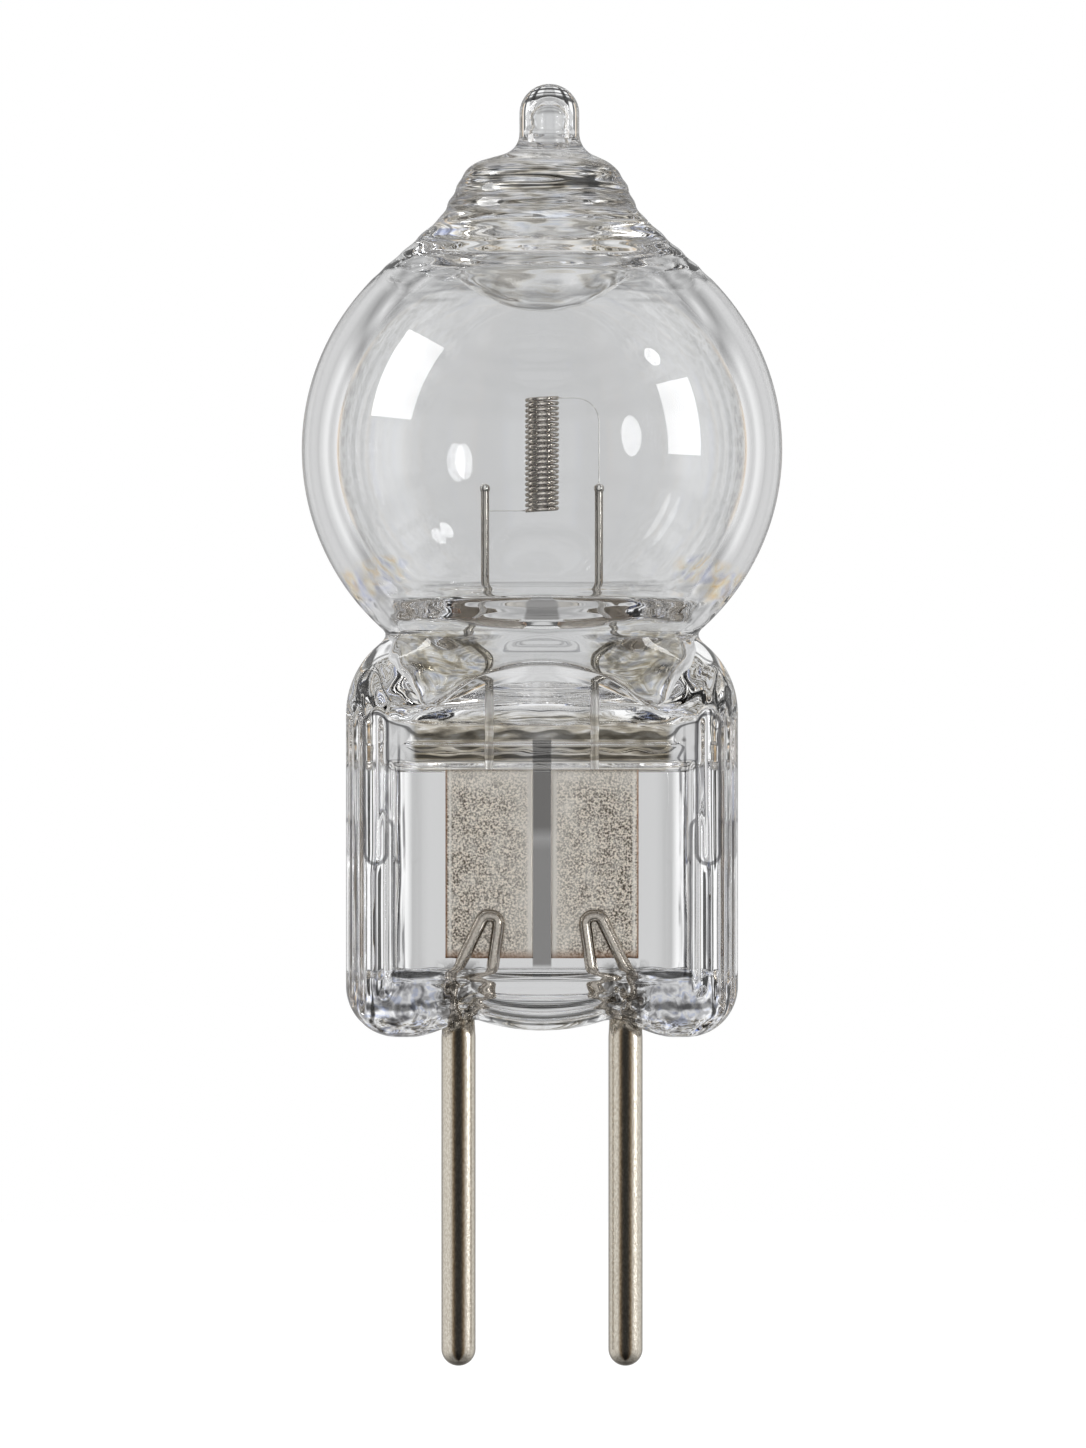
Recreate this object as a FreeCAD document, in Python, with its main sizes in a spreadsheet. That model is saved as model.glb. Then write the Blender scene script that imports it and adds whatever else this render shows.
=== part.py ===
"""Halogen capsule lamp with two contact pins, in millimetres.

The lamp stands upright: +Z runs up to the sealed tip, X runs across the two pins, and the front of the
flattened pinch seal looks along -Y. The origin lies midway between the pins, at the lowest point of the
glass, where the lamp seats in its holder.
"""
import FreeCAD, Part
import math
import os
import re
import Sketcher

SIZES = {
    # Contact pins
    "pin_spacing": 6.35,
    "pin_diameter": 1.3,
    "pin_length": 12.5,
    "pin_embedded": 0.9,
    "pin_root_diameter": 1.2,
    # Pinch seal, the flattened foot of the glass
    "pinch_width": 14.9,
    "pinch_thickness": 4.2,
    "foot_round": 1.95,
    "shoulder_radius": 3.38,
    "neck_inset": 1.7,
    "neck_flattening": 0.35,
    # Pressed window and jaw mark in each broad face of the pinch seal
    "web_thickness": 2.4,
    "bead_width": 1.85,
    "window_bottom": 2.35,
    "window_height": 8.0,
    "window_corner": 0.6,
    "jaw_mark_inset": 0.45,
    "jaw_mark_height": 0.75,
    "jaw_mark_gap": 0.12,
    "jaw_mark_depth": 0.3,
    "jaw_mark_margin": 1.08,
    # Underside of the pinch seal, between its two lobes
    "lobe_inset": 2.45,
    "belly_width": 4.9,
    "belly_rise": 0.65,
    "belly_drop": 0.8,
    # Blown bulb
    "bulb_diameter": 18.28,
    "bulb_wall": 1.35,
    # Crown above the top of the ball, the sealed tip on it, and the plug of glass below it
    "crown_rise": 1.68,
    "crown_diameter": 5.68,
    "crown_round": 1.4,
    "crown_dome": 0.98,
    "crown_foot_drop": 0.22,
    "crown_foot_diameter": 7.48,
    "crown_foot_round": 1.8,
    "tip_height": 2.1,
    "tip_diameter": 2.28,
    "tip_offset": 0.28,
    "tip_fillet": 0.4,
    "plug_depth": 2.53,
    "plug_radius": 4.6,
    # Hollow below the ball, which ends on a saddle of glass with a horn at each side
    "saddle_drop": 0.13,
    "saddle_radius": 5.0,
    "hollow_wall": 1.05,
    "hollow_mouth_rise": 2.0,
    "hollow_mouth_flattening": 1.5,
    "horn_drop": 2.03,
    "horn_depth": 0.7,
    # Sealing foils
    "foil_width": 3.33,
    "foil_gap": 0.68,
    "foil_thickness": 0.04,
    "foil_feather": 0.2,
    "foil_edge_thickness": 0.012,
    "foil_inset": 0.65,
    "foil_length": 7.5,
    "weld_bite": 0.02,
    # Hairpins of doubled wire, each joining a pin to its foil
    "hairpin_diameter": 0.48,
    "hairpin_bend": 0.31,
    "hairpin_overlap": 1.62,
    "hairpin_lean": 0.1,
    "hairpin_feet_gap": 0.02,
    "hairpin_outer_rise": 1.2,
    "hairpin_outer_bend": 0.8,
    "hairpin_knee_reach": 0.95,
    "hairpin_knee_rise": 1.05,
    "hairpin_knee_bend": 0.45,
    "hairpin_foot_rise": 0.35,
    "hairpin_foot_bend": 0.35,
    # Inner leads, which carry the filament
    "lead_diameter": 0.32,
    "lead_spacing": 4.34,
    "lead_overlap": 0.9,
    "lead_top_drop": 1.3,
    "lead_bead_diameter": 0.4,
    "lead_joggle_rise": 0.7,
    "lead_joggle_length": 1.3,
    "lead_bend": 2.0,
    # Filament
    "coil_drop": 0.18,
    "coil_diameter": 1.346,
    "coil_turns": 21.5,
    "strand_diameter": 0.185,
    "strand_gap": 0.015,
    "tail_diameter": 0.06,
    "tail_bend": 0.9,
}

# The most of its room that a rounding may take up
ROUND_SHARE = 0.95

DERIVED = {
    "PIN_X": "(pin_spacing / 2)",
    "PIN_RADIUS": "(pin_diameter / 2)",
    "HALF_WIDTH": "(pinch_width / 2)",
    "HALF_DEPTH": "(pinch_thickness / 2)",
    "NECK_HALF_WIDTH": "(HALF_WIDTH - neck_inset)",
    "NECK_HALF_DEPTH": "(NECK_HALF_WIDTH - neck_flattening)",
    "FOOT_ROUND": f"min(foot_round; {ROUND_SHARE} * HALF_DEPTH)",
    "WINDOW_HALF_WIDTH": "(HALF_WIDTH - bead_width)",
    "WINDOW_TOP": "(window_bottom + window_height)",
    "WINDOW_DEPTH": "(HALF_DEPTH - web_thickness / 2)",
    "MARK_MIDDLE": "(WINDOW_TOP + jaw_mark_gap + jaw_mark_height / 2)",
    "SHOULDER_START": "(MARK_MIDDLE + jaw_mark_height / 2 + jaw_mark_margin)",
    "NECK_RISE": "sqrt(shoulder_radius ^ 2 - (shoulder_radius - neck_inset) ^ 2)",
    "NECK_HEIGHT": "(SHOULDER_START + NECK_RISE)",
    "BELLY_RUN": "sqrt((belly_width / 2) ^ 2 + belly_drop ^ 2)",
    "BELLY_ROUND": f"({ROUND_SHARE} * BELLY_RUN * belly_width / 2 / belly_drop)",
    "BALL_RADIUS": "(bulb_diameter / 2)",
    "BALL_CENTRE": "(NECK_HEIGHT + sqrt(BALL_RADIUS ^ 2 - NECK_HALF_WIDTH ^ 2))",
    "BALL_TOP": "(BALL_CENTRE + BALL_RADIUS)",
    "CROWN_PEAK": "(BALL_TOP + crown_rise + crown_dome)",
    "TIP_RADIUS": "(tip_diameter / 2)",
    "TIP_LEDGE": "(crown_diameter / 2 - crown_round / 2 - TIP_RADIUS - tip_offset)",
    "TIP_FILLET": f"min(tip_fillet; {ROUND_SHARE} * TIP_LEDGE; (tip_height - TIP_RADIUS) / 2)",
    "HOLLOW_HALF_WIDTH": "(NECK_HALF_WIDTH - hollow_wall)",
    "HOLLOW_TOP": "(NECK_HEIGHT + hollow_mouth_rise)",
    "HORN_BOTTOM": "(NECK_HEIGHT - horn_drop)",
    "FOIL_X": "(foil_gap / 2 + foil_width / 2)",
    "FOIL_BOTTOM": "(window_bottom + foil_inset)",
    "FOIL_TOP": "(FOIL_BOTTOM + foil_length)",
    "HAIRPIN_FOOT": "((hairpin_diameter + hairpin_feet_gap) / 2)",
    "HAIRPIN_Y": "(foil_thickness / 2 + hairpin_diameter / 2 - weld_bite)",
    "LEAD_X": "(lead_spacing / 2)",
    "LEAD_Y": "(foil_thickness / 2 + lead_diameter / 2 - weld_bite)",
    "LIGHT_CENTRE": "(BALL_CENTRE - coil_drop)",
    "LEAD_TOP": "(LIGHT_CENTRE - lead_top_drop)",
    "JOGGLE_FOOT": "(NECK_HEIGHT + lead_joggle_rise)",
    "COIL_RADIUS": "(coil_diameter / 2 - strand_diameter / 2)",
    "COIL_HEIGHT": "(coil_turns * (strand_diameter + strand_gap))",
    "COIL_FOOT": "(LIGHT_CENTRE - COIL_HEIGHT / 2)",
    "COIL_HEAD": "(LIGHT_CENTRE + COIL_HEIGHT / 2)",
}

# Levels of the shoulder's sections, from its start at 0 to the neck at 1 and just into the ball
SHOULDER_LEVELS = (0, 0.35, 0.65, 0.85, 1.02)
# Levels of the hollow's sections, from the horns' ends at 0 to its mouth at 1
HOLLOW_LEVELS = (0, 0.25, 0.6, 1)
LEFT, RIGHT = -1, 1
SIDE_NAMES = {LEFT: "left", RIGHT: "right"}
AXIS_UP = FreeCAD.Vector(0, 0, 1)
SAME_PLACE = 1e-4

doc = FreeCAD.newDocument("HalogenCapsule")
sheet = doc.addObject("Spreadsheet::Sheet", "Sizes")


def fill_sheet():
    """Write each driving size to a cell of its own."""
    for row, (name, size) in enumerate(SIZES.items(), start=1):
        sheet.set(f"A{row}", name)
        sheet.set(f"B{row}", str(size))
        sheet.setAlias(f"B{row}", name)
    doc.recompute()


def bound(formula):
    """Spell out the derived names in a formula, and point each size's name at its cell."""
    while re.search(r"[A-Z]{3}", formula):
        formula = re.sub(r"[A-Z][A-Z_]+", lambda match: DERIVED[match[0]], formula)
    return re.sub(r"[a-z_]+", lambda match: f"Sizes.{match[0]}" if match[0] in SIZES else match[0], formula)


def value(formula):
    """Work out what a formula comes to with the sizes in the sheet."""
    return float(sheet.evalExpression(bound(formula)))


def bind(feature, **formulas):
    """Tie a feature's properties to the sheet; a double underscore stands for a dot."""
    for name, formula in formulas.items():
        feature.setExpression(name.replace("__", "."), bound(formula))


def constrain(sketch, formula, *reference):
    """Add a sketch dimension that follows the sheet."""
    index = sketch.addConstraint(Sketcher.Constraint(*reference, value(formula)))
    sketch.setExpression(f"Constraints[{index}]", bound(formula))


def tie(sketch, kind, *reference):
    """Add a sketch constraint that has no size."""
    sketch.addConstraint(Sketcher.Constraint(kind, *reference))


def place_point(sketch, geometry, end, across, along):
    """Tie a point of a sketch to its distances from the sketch's origin."""
    for kind, formula, axis in (("DistanceX", across, -2), ("DistanceY", along, -1)):
        if formula == "0":
            tie(sketch, "PointOnObject", geometry, end, axis)
        else:
            constrain(sketch, formula, kind, -1, 1, geometry, end)


def new_body(name):
    """Start a body."""
    return doc.addObject("PartDesign::Body", name)


def new_sketch(body, name, plane="XY_Plane", out="0", sideways="0"):
    """Start a sketch on one of the body's own planes, moved along its normal and sideways."""
    sketch = body.newObject("Sketcher::SketchObject", name)
    base = next(feature for feature in body.Origin.OriginFeatures if feature.Role == plane)
    sketch.AttachmentSupport = [(base, "")]
    sketch.MapMode = "FlatFace"
    bind(sketch, AttachmentOffset__Base__z=out, AttachmentOffset__Base__x=sideways)
    doc.recompute()
    return sketch


def corner_arc(before, corner, after, radius):
    """Give the arc that rounds a corner, the order of its ends along the outline, and those ends."""
    back = (before - corner).normalize()
    ahead = (after - corner).normalize()
    half_angle = back.getAngle(ahead) / 2
    centre = corner + (back + ahead).normalize() * (radius / math.sin(half_angle))
    reach = radius / math.tan(half_angle)
    first = corner + back * reach
    last = corner + ahead * reach
    runs_left = (first - centre).cross(last - centre).z > 0
    from_point, to_point = (first, last) if runs_left else (last, first)
    angles = [math.atan2(point.y - centre.y, point.x - centre.x) for point in (from_point, to_point)]
    arc = Part.ArcOfCircle(Part.Circle(centre, AXIS_UP, radius), *angles)
    return arc, (1, 2) if runs_left else (2, 1), first, last


def draw_runs(sketch, corners, closed=True, end_point=None):
    """Draw straight runs through the corners, with a tangent arc at each corner that has a radius.

    A corner is two formulas, or three with the radius. An open outline ends at its last corner, or at a
    loose end_point that something else will hold. The runs' numbers in the sketch come back.
    """
    places = [FreeCAD.Vector(value(across), value(along), 0) for across, along, *_ in corners]
    if end_point:
        places.append(end_point)
    count = len(places)
    firsts, lasts, arcs = list(places), list(places), {}
    for index, (_, _, *radius) in enumerate(corners):
        if radius:
            neighbours = places[index - 1], places[index], places[(index + 1) % count]
            arc, order, firsts[index], lasts[index] = corner_arc(*neighbours, value(radius[0]))
            arcs[index] = sketch.addGeometry(arc), order
    run_count = count if closed else count - 1
    runs = []
    for index in range(run_count):
        run = Part.LineSegment(lasts[index], firsts[(index + 1) % count])
        runs.append(sketch.addGeometry(run))
    for index, (across, along, *radius) in enumerate(corners):
        if not closed and index in (0, count - 1):
            run, end = (runs[0], 1) if index == 0 else (runs[-1], 2)
            place_point(sketch, run, end, across, along)
        elif radius:
            round_off(sketch, runs[index - 1], runs[index], arcs[index], places[index], corners[index])
        else:
            tie(sketch, "Coincident", runs[index - 1], 2, runs[index], 1)
            place_point(sketch, runs[index], 1, across, along)
    return runs


def round_off(sketch, run_in, run_out, arc_and_order, place, corner):
    """Join two runs by a tangent arc, and keep the sharp corner as a point that both runs aim at."""
    across, along, radius = corner
    arc, (first, last) = arc_and_order
    tie(sketch, "Tangent", run_in, 2, arc, first)
    tie(sketch, "Tangent", arc, last, run_out, 1)
    constrain(sketch, radius, "Radius", arc)
    point = sketch.addGeometry(Part.Point(place), True)
    tie(sketch, "PointOnObject", point, 1, run_in)
    tie(sketch, "PointOnObject", point, 1, run_out)
    place_point(sketch, point, 1, across, along)


def draw_turned_profile(sketch, corners, radius, centre, arc_end):
    """Draw a half section that starts on the axis, runs through the corners and ends in a round.

    The round is centred on the axis, the last run is tangent to it, and arc_end says whether it closes
    on the axis above its centre (1) or below it (-1).
    """
    middle = FreeCAD.Vector(0, value(centre), 0)
    size = value(radius)
    last = FreeCAD.Vector(value(corners[-1][0]), value(corners[-1][1]), 0) - middle
    share = size ** 2 / last.Length ** 2
    reach = size * math.sqrt(last.Length ** 2 - size ** 2) / last.Length ** 2
    square = FreeCAD.Vector(last.y, -last.x, 0) * -arc_end
    touch = last * share + square * reach
    touch_angle = math.atan2(touch.y, touch.x)
    runs = draw_runs(sketch, corners, closed=False, end_point=middle + touch)
    angles = sorted((touch_angle, arc_end * math.pi / 2))
    arc = sketch.addGeometry(Part.ArcOfCircle(Part.Circle(middle, AXIS_UP, size), *angles))
    at_touch, at_axis = (1, 2) if arc_end > 0 else (2, 1)
    tie(sketch, "Tangent", runs[-1], 2, arc, at_touch)
    constrain(sketch, radius, "Radius", arc)
    place_point(sketch, arc, 3, "0", centre)
    start = FreeCAD.Vector(0, value(corners[0][1]), 0)
    axis_run = sketch.addGeometry(Part.LineSegment(middle + FreeCAD.Vector(0, arc_end * size, 0), start))
    tie(sketch, "Coincident", arc, at_axis, axis_run, 1)
    tie(sketch, "Coincident", axis_run, 2, runs[0], 1)
    tie(sketch, "PointOnObject", axis_run, 1, -2)


def draw_circle(sketch, radius, across="0", along="0"):
    """Draw one circle."""
    centre = FreeCAD.Vector(value(across), value(along), 0)
    circle = sketch.addGeometry(Part.Circle(centre, AXIS_UP, value(radius)))
    constrain(sketch, radius, "Radius", circle)
    place_point(sketch, circle, 3, across, along)


def draw_stadium(sketch, half_width, half_depth, along="0"):
    """Draw a flat-sided outline with half-round ends."""
    radius = value(half_depth)
    ends = {}
    quarter = math.pi / 2
    for side, start in ((RIGHT, -quarter), (LEFT, quarter)):
        centre = FreeCAD.Vector(side * (value(half_width) - radius), value(along), 0)
        round_end = Part.ArcOfCircle(Part.Circle(centre, AXIS_UP, radius), start, start + 2 * quarter)
        ends[side] = sketch.addGeometry(round_end), round_end
    for side, other in ((RIGHT, LEFT), (LEFT, RIGHT)):
        flat = sketch.addGeometry(Part.LineSegment(ends[side][1].EndPoint, ends[other][1].StartPoint))
        tie(sketch, "Tangent", ends[side][0], 2, flat, 1)
        tie(sketch, "Tangent", flat, 2, ends[other][0], 1)
    constrain(sketch, half_depth, "Radius", ends[RIGHT][0])
    place_point(sketch, ends[RIGHT][0], 3, f"({half_width}) - ({half_depth})", along)
    constrain(sketch, f"({half_depth}) - ({half_width})", "DistanceX", -1, 1, ends[LEFT][0], 3)


def shape_feature(body, kind, name, profile, **formulas):
    """Add a feature that is made from a sketch."""
    feature = body.newObject(f"PartDesign::{kind}", name)
    feature.Profile = profile
    bind(feature, **formulas)
    return feature


def turn(body, name, sketch):
    """Turn a sketch full circle about its upright axis."""
    turned = shape_feature(body, "Revolution", name, sketch)
    turned.ReferenceAxis = (sketch, ["V_Axis"])
    turned.Angle = 360
    doc.recompute()
    return turned


def loft(body, name, sections):
    """Stretch a skin over the sections in turn."""
    lofted = shape_feature(body, "AdditiveLoft", name, sections[0])
    lofted.Sections = sections[1:]
    doc.recompute()


def sweep(body, name, profile, path):
    """Run a wire's section along its path."""
    wire = shape_feature(body, "AdditivePipe", name, profile)
    wire.Spine = (path, [f"Edge{index + 1}" for index in range(len(path.Shape.Edges))])
    doc.recompute()


def cut_pocket(body, name, sketch, **formulas):
    """Cut a sketch into the body, and make sure that it took something away."""
    before = body.Shape.Volume
    pocket = shape_feature(body, "Pocket", name, sketch, **formulas)
    doc.recompute()
    if before - pocket.Shape.Volume < SAME_PLACE:
        pocket.Reversed = True
        doc.recompute()
    return pocket


def fillet(body, name, base, edges, radius):
    """Round some edges of a feature."""
    rounded = body.newObject("PartDesign::Fillet", name)
    rounded.Base = (base, [f"Edge{index + 1}" for index, edge in enumerate(base.Shape.Edges) if edges(edge)])
    bind(rounded, Radius=radius)
    doc.recompute()


def combine(kind, name, base, tool):
    """Join two solids or cut one by the other."""
    result = doc.addObject(f"Part::{kind}", name)
    result.Base = base
    result.Tool = tool
    doc.recompute()
    return result


def primitive(kind, name, **formulas):
    """Add a plain solid whose sizes and place follow the sheet."""
    solid = doc.addObject(f"Part::{kind}", name)
    bind(solid, **formulas)
    doc.recompute()
    return solid


def make_pin(side):
    """A contact pin with a round nose below and a tapered root, flat on top, inside the glass."""
    name = f"contact_pin_{SIDE_NAMES[side]}"
    pin = new_body(name)
    bind(pin, Placement__Base__x=f"{side} * PIN_X")
    section = new_sketch(pin, f"{name}_section", "XZ_Plane")
    root = [("0", "pin_embedded"), ("pin_root_diameter / 2", "pin_embedded"), ("PIN_RADIUS", "0")]
    draw_turned_profile(section, root, "PIN_RADIUS", "PIN_RADIUS - pin_length", arc_end=-1)
    turn(pin, f"{name}_turned", section)
    return pin


def make_foil(side):
    """A sealing foil whose long edges are feathered."""
    name = f"seal_foil_{SIDE_NAMES[side]}"
    foil = new_body(name)
    bind(foil, Placement__Base__x=f"{side} * FOIL_X", Placement__Base__z="FOIL_BOTTOM")
    section = new_sketch(foil, f"{name}_section")
    edge, flat = "foil_width / 2", "foil_width / 2 - foil_feather"
    thin, thick = "foil_edge_thickness / 2", "foil_thickness / 2"
    right_half = [(flat, f"-{thick}"), (edge, f"-{thin}"), (edge, thin), (flat, thick)]
    left_half = [(f"-({across})", f"-({along})") for across, along in right_half]
    draw_runs(section, right_half + left_half)
    shape_feature(foil, "Pad", f"{name}_sheet", section, Length="foil_length")
    doc.recompute()
    return foil


def make_hairpin(side, foil):
    """A wire doubled over into a hairpin, with both feet on the pin and its bend lying on the foil."""
    name = f"hairpin_{SIDE_NAMES[side]}"
    wire = new_body(f"{name}_wire")
    bind(wire, Placement__Base__x=f"{side} * PIN_X")
    foot, reach = "HAIRPIN_FOOT", "PIN_X - FOIL_X + hairpin_lean"
    top = "FOIL_BOTTOM + hairpin_overlap"
    corners = [
        (f"-{foot}", "pin_embedded"),
        (f"-{foot}", "pin_embedded + hairpin_outer_rise", "hairpin_outer_bend"),
        (f"{reach} - hairpin_bend", top, "hairpin_bend"),
        (f"{reach} + hairpin_bend", top, "hairpin_bend"),
        (f"{foot} + hairpin_knee_reach", "pin_embedded + hairpin_knee_rise", "hairpin_knee_bend"),
        (foot, "pin_embedded + hairpin_foot_rise", "hairpin_foot_bend"),
        (foot, "pin_embedded"),
    ]
    inward = [(f"{-side} * ({across})", *rest) for across, *rest in corners]
    path = new_sketch(wire, f"{name}_path", "XZ_Plane", out="HAIRPIN_Y")
    draw_runs(path, inward, closed=False)
    section = new_sketch(wire, f"{name}_section", out="pin_embedded")
    draw_circle(section, "hairpin_diameter / 2", inward[0][0], "-HAIRPIN_Y")
    doc.recompute()
    sweep(wire, f"{name}_swept", section, path)
    return combine("Cut", name, wire, foil)


def make_lead(side, foil):
    """An inner lead that stands on the back of its foil, joggles outwards and ends in a melted bead."""
    name = f"inner_lead_{SIDE_NAMES[side]}"
    wire = new_body(f"{name}_wire")
    foot = "FOIL_TOP - lead_overlap"
    corners = [
        (f"{side} * FOIL_X", foot),
        (f"{side} * FOIL_X", "JOGGLE_FOOT", "lead_bend"),
        (f"{side} * LEAD_X", "JOGGLE_FOOT + lead_joggle_length", "lead_bend"),
        (f"{side} * LEAD_X", "LEAD_TOP"),
    ]
    path = new_sketch(wire, f"{name}_path", "XZ_Plane", out="-LEAD_Y")
    draw_runs(path, corners, closed=False)
    section = new_sketch(wire, f"{name}_section", out=foot)
    draw_circle(section, "lead_diameter / 2", f"{side} * FOIL_X", "LEAD_Y")
    doc.recompute()
    sweep(wire, f"{name}_swept", section, path)
    bead = primitive(
        "Sphere", f"{name}_bead", Radius="lead_bead_diameter / 2", Placement__Base__x=f"{side} * LEAD_X",
        Placement__Base__y="LEAD_Y", Placement__Base__z="LEAD_TOP")
    beaded = combine("Fuse", f"{name}_beaded", wire, bead)
    return combine("Cut", name, beaded, foil)


def make_coil_turns():
    """The wound body of the filament, which starts at the left below and ends at the right above."""
    coil = new_body("coil_turns")
    bind(coil, Placement__Base__y="LEAD_Y", Placement__Base__z="COIL_FOOT")
    strand = new_sketch(coil, "coil_strand", "XZ_Plane")
    draw_circle(strand, "strand_diameter / 2", "-COIL_RADIUS")
    doc.recompute()
    wound = shape_feature(coil, "AdditiveHelix", "coil_wound", strand)
    wound.ReferenceAxis = (strand, ["V_Axis"])
    wound.Mode = "height-turns-angle"
    bind(wound, Height="COIL_HEIGHT", Turns="coil_turns")
    doc.recompute()
    return coil


def make_coil_tails(leads):
    """The filament's two fine ends: one runs straight to the left lead, one arches over to the right."""
    left_tail = primitive(
        "Cylinder", "coil_tail_left", Radius="tail_diameter / 2", Height="LEAD_X - COIL_RADIUS",
        Placement__Base__x="-LEAD_X", Placement__Base__y="LEAD_Y", Placement__Base__z="COIL_FOOT")
    left_tail.Placement.Rotation = FreeCAD.Rotation(FreeCAD.Vector(0, 1, 0), 90)
    right_tail = new_body("coil_tail_right")
    path = new_sketch(right_tail, "coil_tail_path", "XZ_Plane", out="-LEAD_Y")
    arch = [("COIL_RADIUS", "COIL_HEAD"), ("LEAD_X", "COIL_HEAD", "tail_bend"), ("LEAD_X", "LEAD_TOP")]
    draw_runs(path, arch, closed=False)
    section = new_sketch(right_tail, "coil_tail_section", "YZ_Plane", out="COIL_RADIUS")
    draw_circle(section, "tail_diameter / 2", "LEAD_Y", "COIL_HEAD")
    doc.recompute()
    sweep(right_tail, "coil_tail_swept", section, path)
    return [
        combine("Cut", "coil_end_left", left_tail, leads[LEFT]),
        combine("Cut", "coil_end_right", right_tail, leads[RIGHT]),
    ]


def make_filament(leads):
    """The filament: a close-wound coil with a fine tail at each end."""
    filament = doc.addObject("Part::MultiFuse", "filament_coil")
    filament.Shapes = [make_coil_turns(), *make_coil_tails(leads)]
    doc.recompute()
    return filament


def make_bulb():
    """The solid outer form of the blown ball, with its crown and the sealed tip beside the axis."""
    bulb = new_body("bulb_form")
    section = new_sketch(bulb, "bulb_section", "XZ_Plane")
    crown = [
        ("0", "CROWN_PEAK"),
        ("crown_diameter / 2", "BALL_TOP + crown_rise", "crown_round"),
        ("crown_foot_diameter / 2", "BALL_TOP - crown_foot_drop", "crown_foot_round"),
    ]
    draw_turned_profile(section, crown, "BALL_RADIUS", "BALL_CENTRE", arc_end=-1)
    turn(bulb, "bulb_turned", section)
    tip_section = new_sketch(bulb, "tip_section", "XZ_Plane", sideways="tip_offset")
    stem = [("0", "BALL_TOP"), ("TIP_RADIUS", "BALL_TOP")]
    draw_turned_profile(tip_section, stem, "TIP_RADIUS", "CROWN_PEAK + tip_height - TIP_RADIUS", arc_end=1)
    tipped = turn(bulb, "tip_turned", tip_section)

    def is_tip_root(edge):
        """Say whether an edge runs round the tip's stem where it leaves the crown."""
        box = edge.BoundBox
        in_height = value("BALL_TOP + crown_rise") < box.ZMin and box.ZMax < value("CROWN_PEAK")
        return in_height and math.hypot(box.XLength, box.YLength) > SAME_PLACE

    fillet(bulb, "tip_root", tipped, is_tip_root, "TIP_FILLET")
    return bulb


def make_pinch():
    """The outer form of the pinch seal: a flat foot, windows pressed in both faces, and the shoulders."""
    pinch = new_body("pinch_form")
    plan = new_sketch(pinch, "pinch_plan")
    draw_stadium(plan, "HALF_WIDTH", "HALF_DEPTH")
    foot = shape_feature(pinch, "Pad", "pinch_foot", plan, Length="SHOULDER_START")
    doc.recompute()
    fillet(pinch, "pinch_sole", foot, lambda edge: edge.BoundBox.ZMax < SAME_PLACE, "FOOT_ROUND")
    sections = []
    for index, level in enumerate(SHOULDER_LEVELS):
        section = new_sketch(pinch, f"shoulder_section_{index}", out=f"SHOULDER_START + {level} * NECK_RISE")
        rounding = f"sqrt(shoulder_radius ^ 2 - ({level} * NECK_RISE) ^ 2)"
        half_depth = f"HALF_DEPTH + {level} * (NECK_HALF_DEPTH - HALF_DEPTH)"
        draw_stadium(section, f"HALF_WIDTH - shoulder_radius + {rounding}", half_depth)
        sections.append(section)
    doc.recompute()
    loft(pinch, "shoulders", sections)
    for face_name, face in (("front", 1), ("back", -1)):
        press_face(pinch, face_name, face)
    cut_underside(pinch)
    return pinch


def press_face(pinch, face_name, face):
    """Press the window and the jaw mark above it into one broad face of the pinch seal."""
    window = new_sketch(pinch, f"window_{face_name}", "XZ_Plane", out=f"{face} * HALF_DEPTH")
    half = "WINDOW_HALF_WIDTH"
    bottom = [(f"-{half}", "window_bottom", "window_corner"), (half, "window_bottom", "window_corner")]
    top = [(half, "WINDOW_TOP", "window_corner"), (f"-{half}", "WINDOW_TOP", "window_corner")]
    draw_runs(window, bottom + top)
    cut_pocket(pinch, f"window_{face_name}_pressed", window, Length="WINDOW_DEPTH")
    mark = new_sketch(pinch, f"jaw_mark_{face_name}", "XZ_Plane", out=f"{face} * HALF_DEPTH")
    draw_stadium(mark, "WINDOW_HALF_WIDTH - jaw_mark_inset", "jaw_mark_height / 2", "MARK_MIDDLE")
    cut_pocket(pinch, f"jaw_mark_{face_name}_pressed", mark, Length="jaw_mark_depth")


def cut_underside(pinch):
    """Raise the underside between the two lobes, with a shallow belly between the pins."""
    underside = new_sketch(pinch, "underside", "XZ_Plane")
    lobe, inner = "(HALF_WIDTH - lobe_inset)", "belly_width / 2"
    corners = [
        (f"-{lobe}", "-pin_embedded"),
        (lobe, "-pin_embedded"),
        (lobe, "0"),
        (inner, "belly_rise"),
        ("0", "belly_rise - belly_drop", "BELLY_ROUND"),
        (f"-{inner}", "belly_rise"),
        (f"-{lobe}", "0"),
    ]
    draw_runs(underside, corners)
    pocket = cut_pocket(pinch, "underside_raised", underside, Length="2 * pinch_thickness")
    pocket.SideType = "Symmetric"
    doc.recompute()


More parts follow.
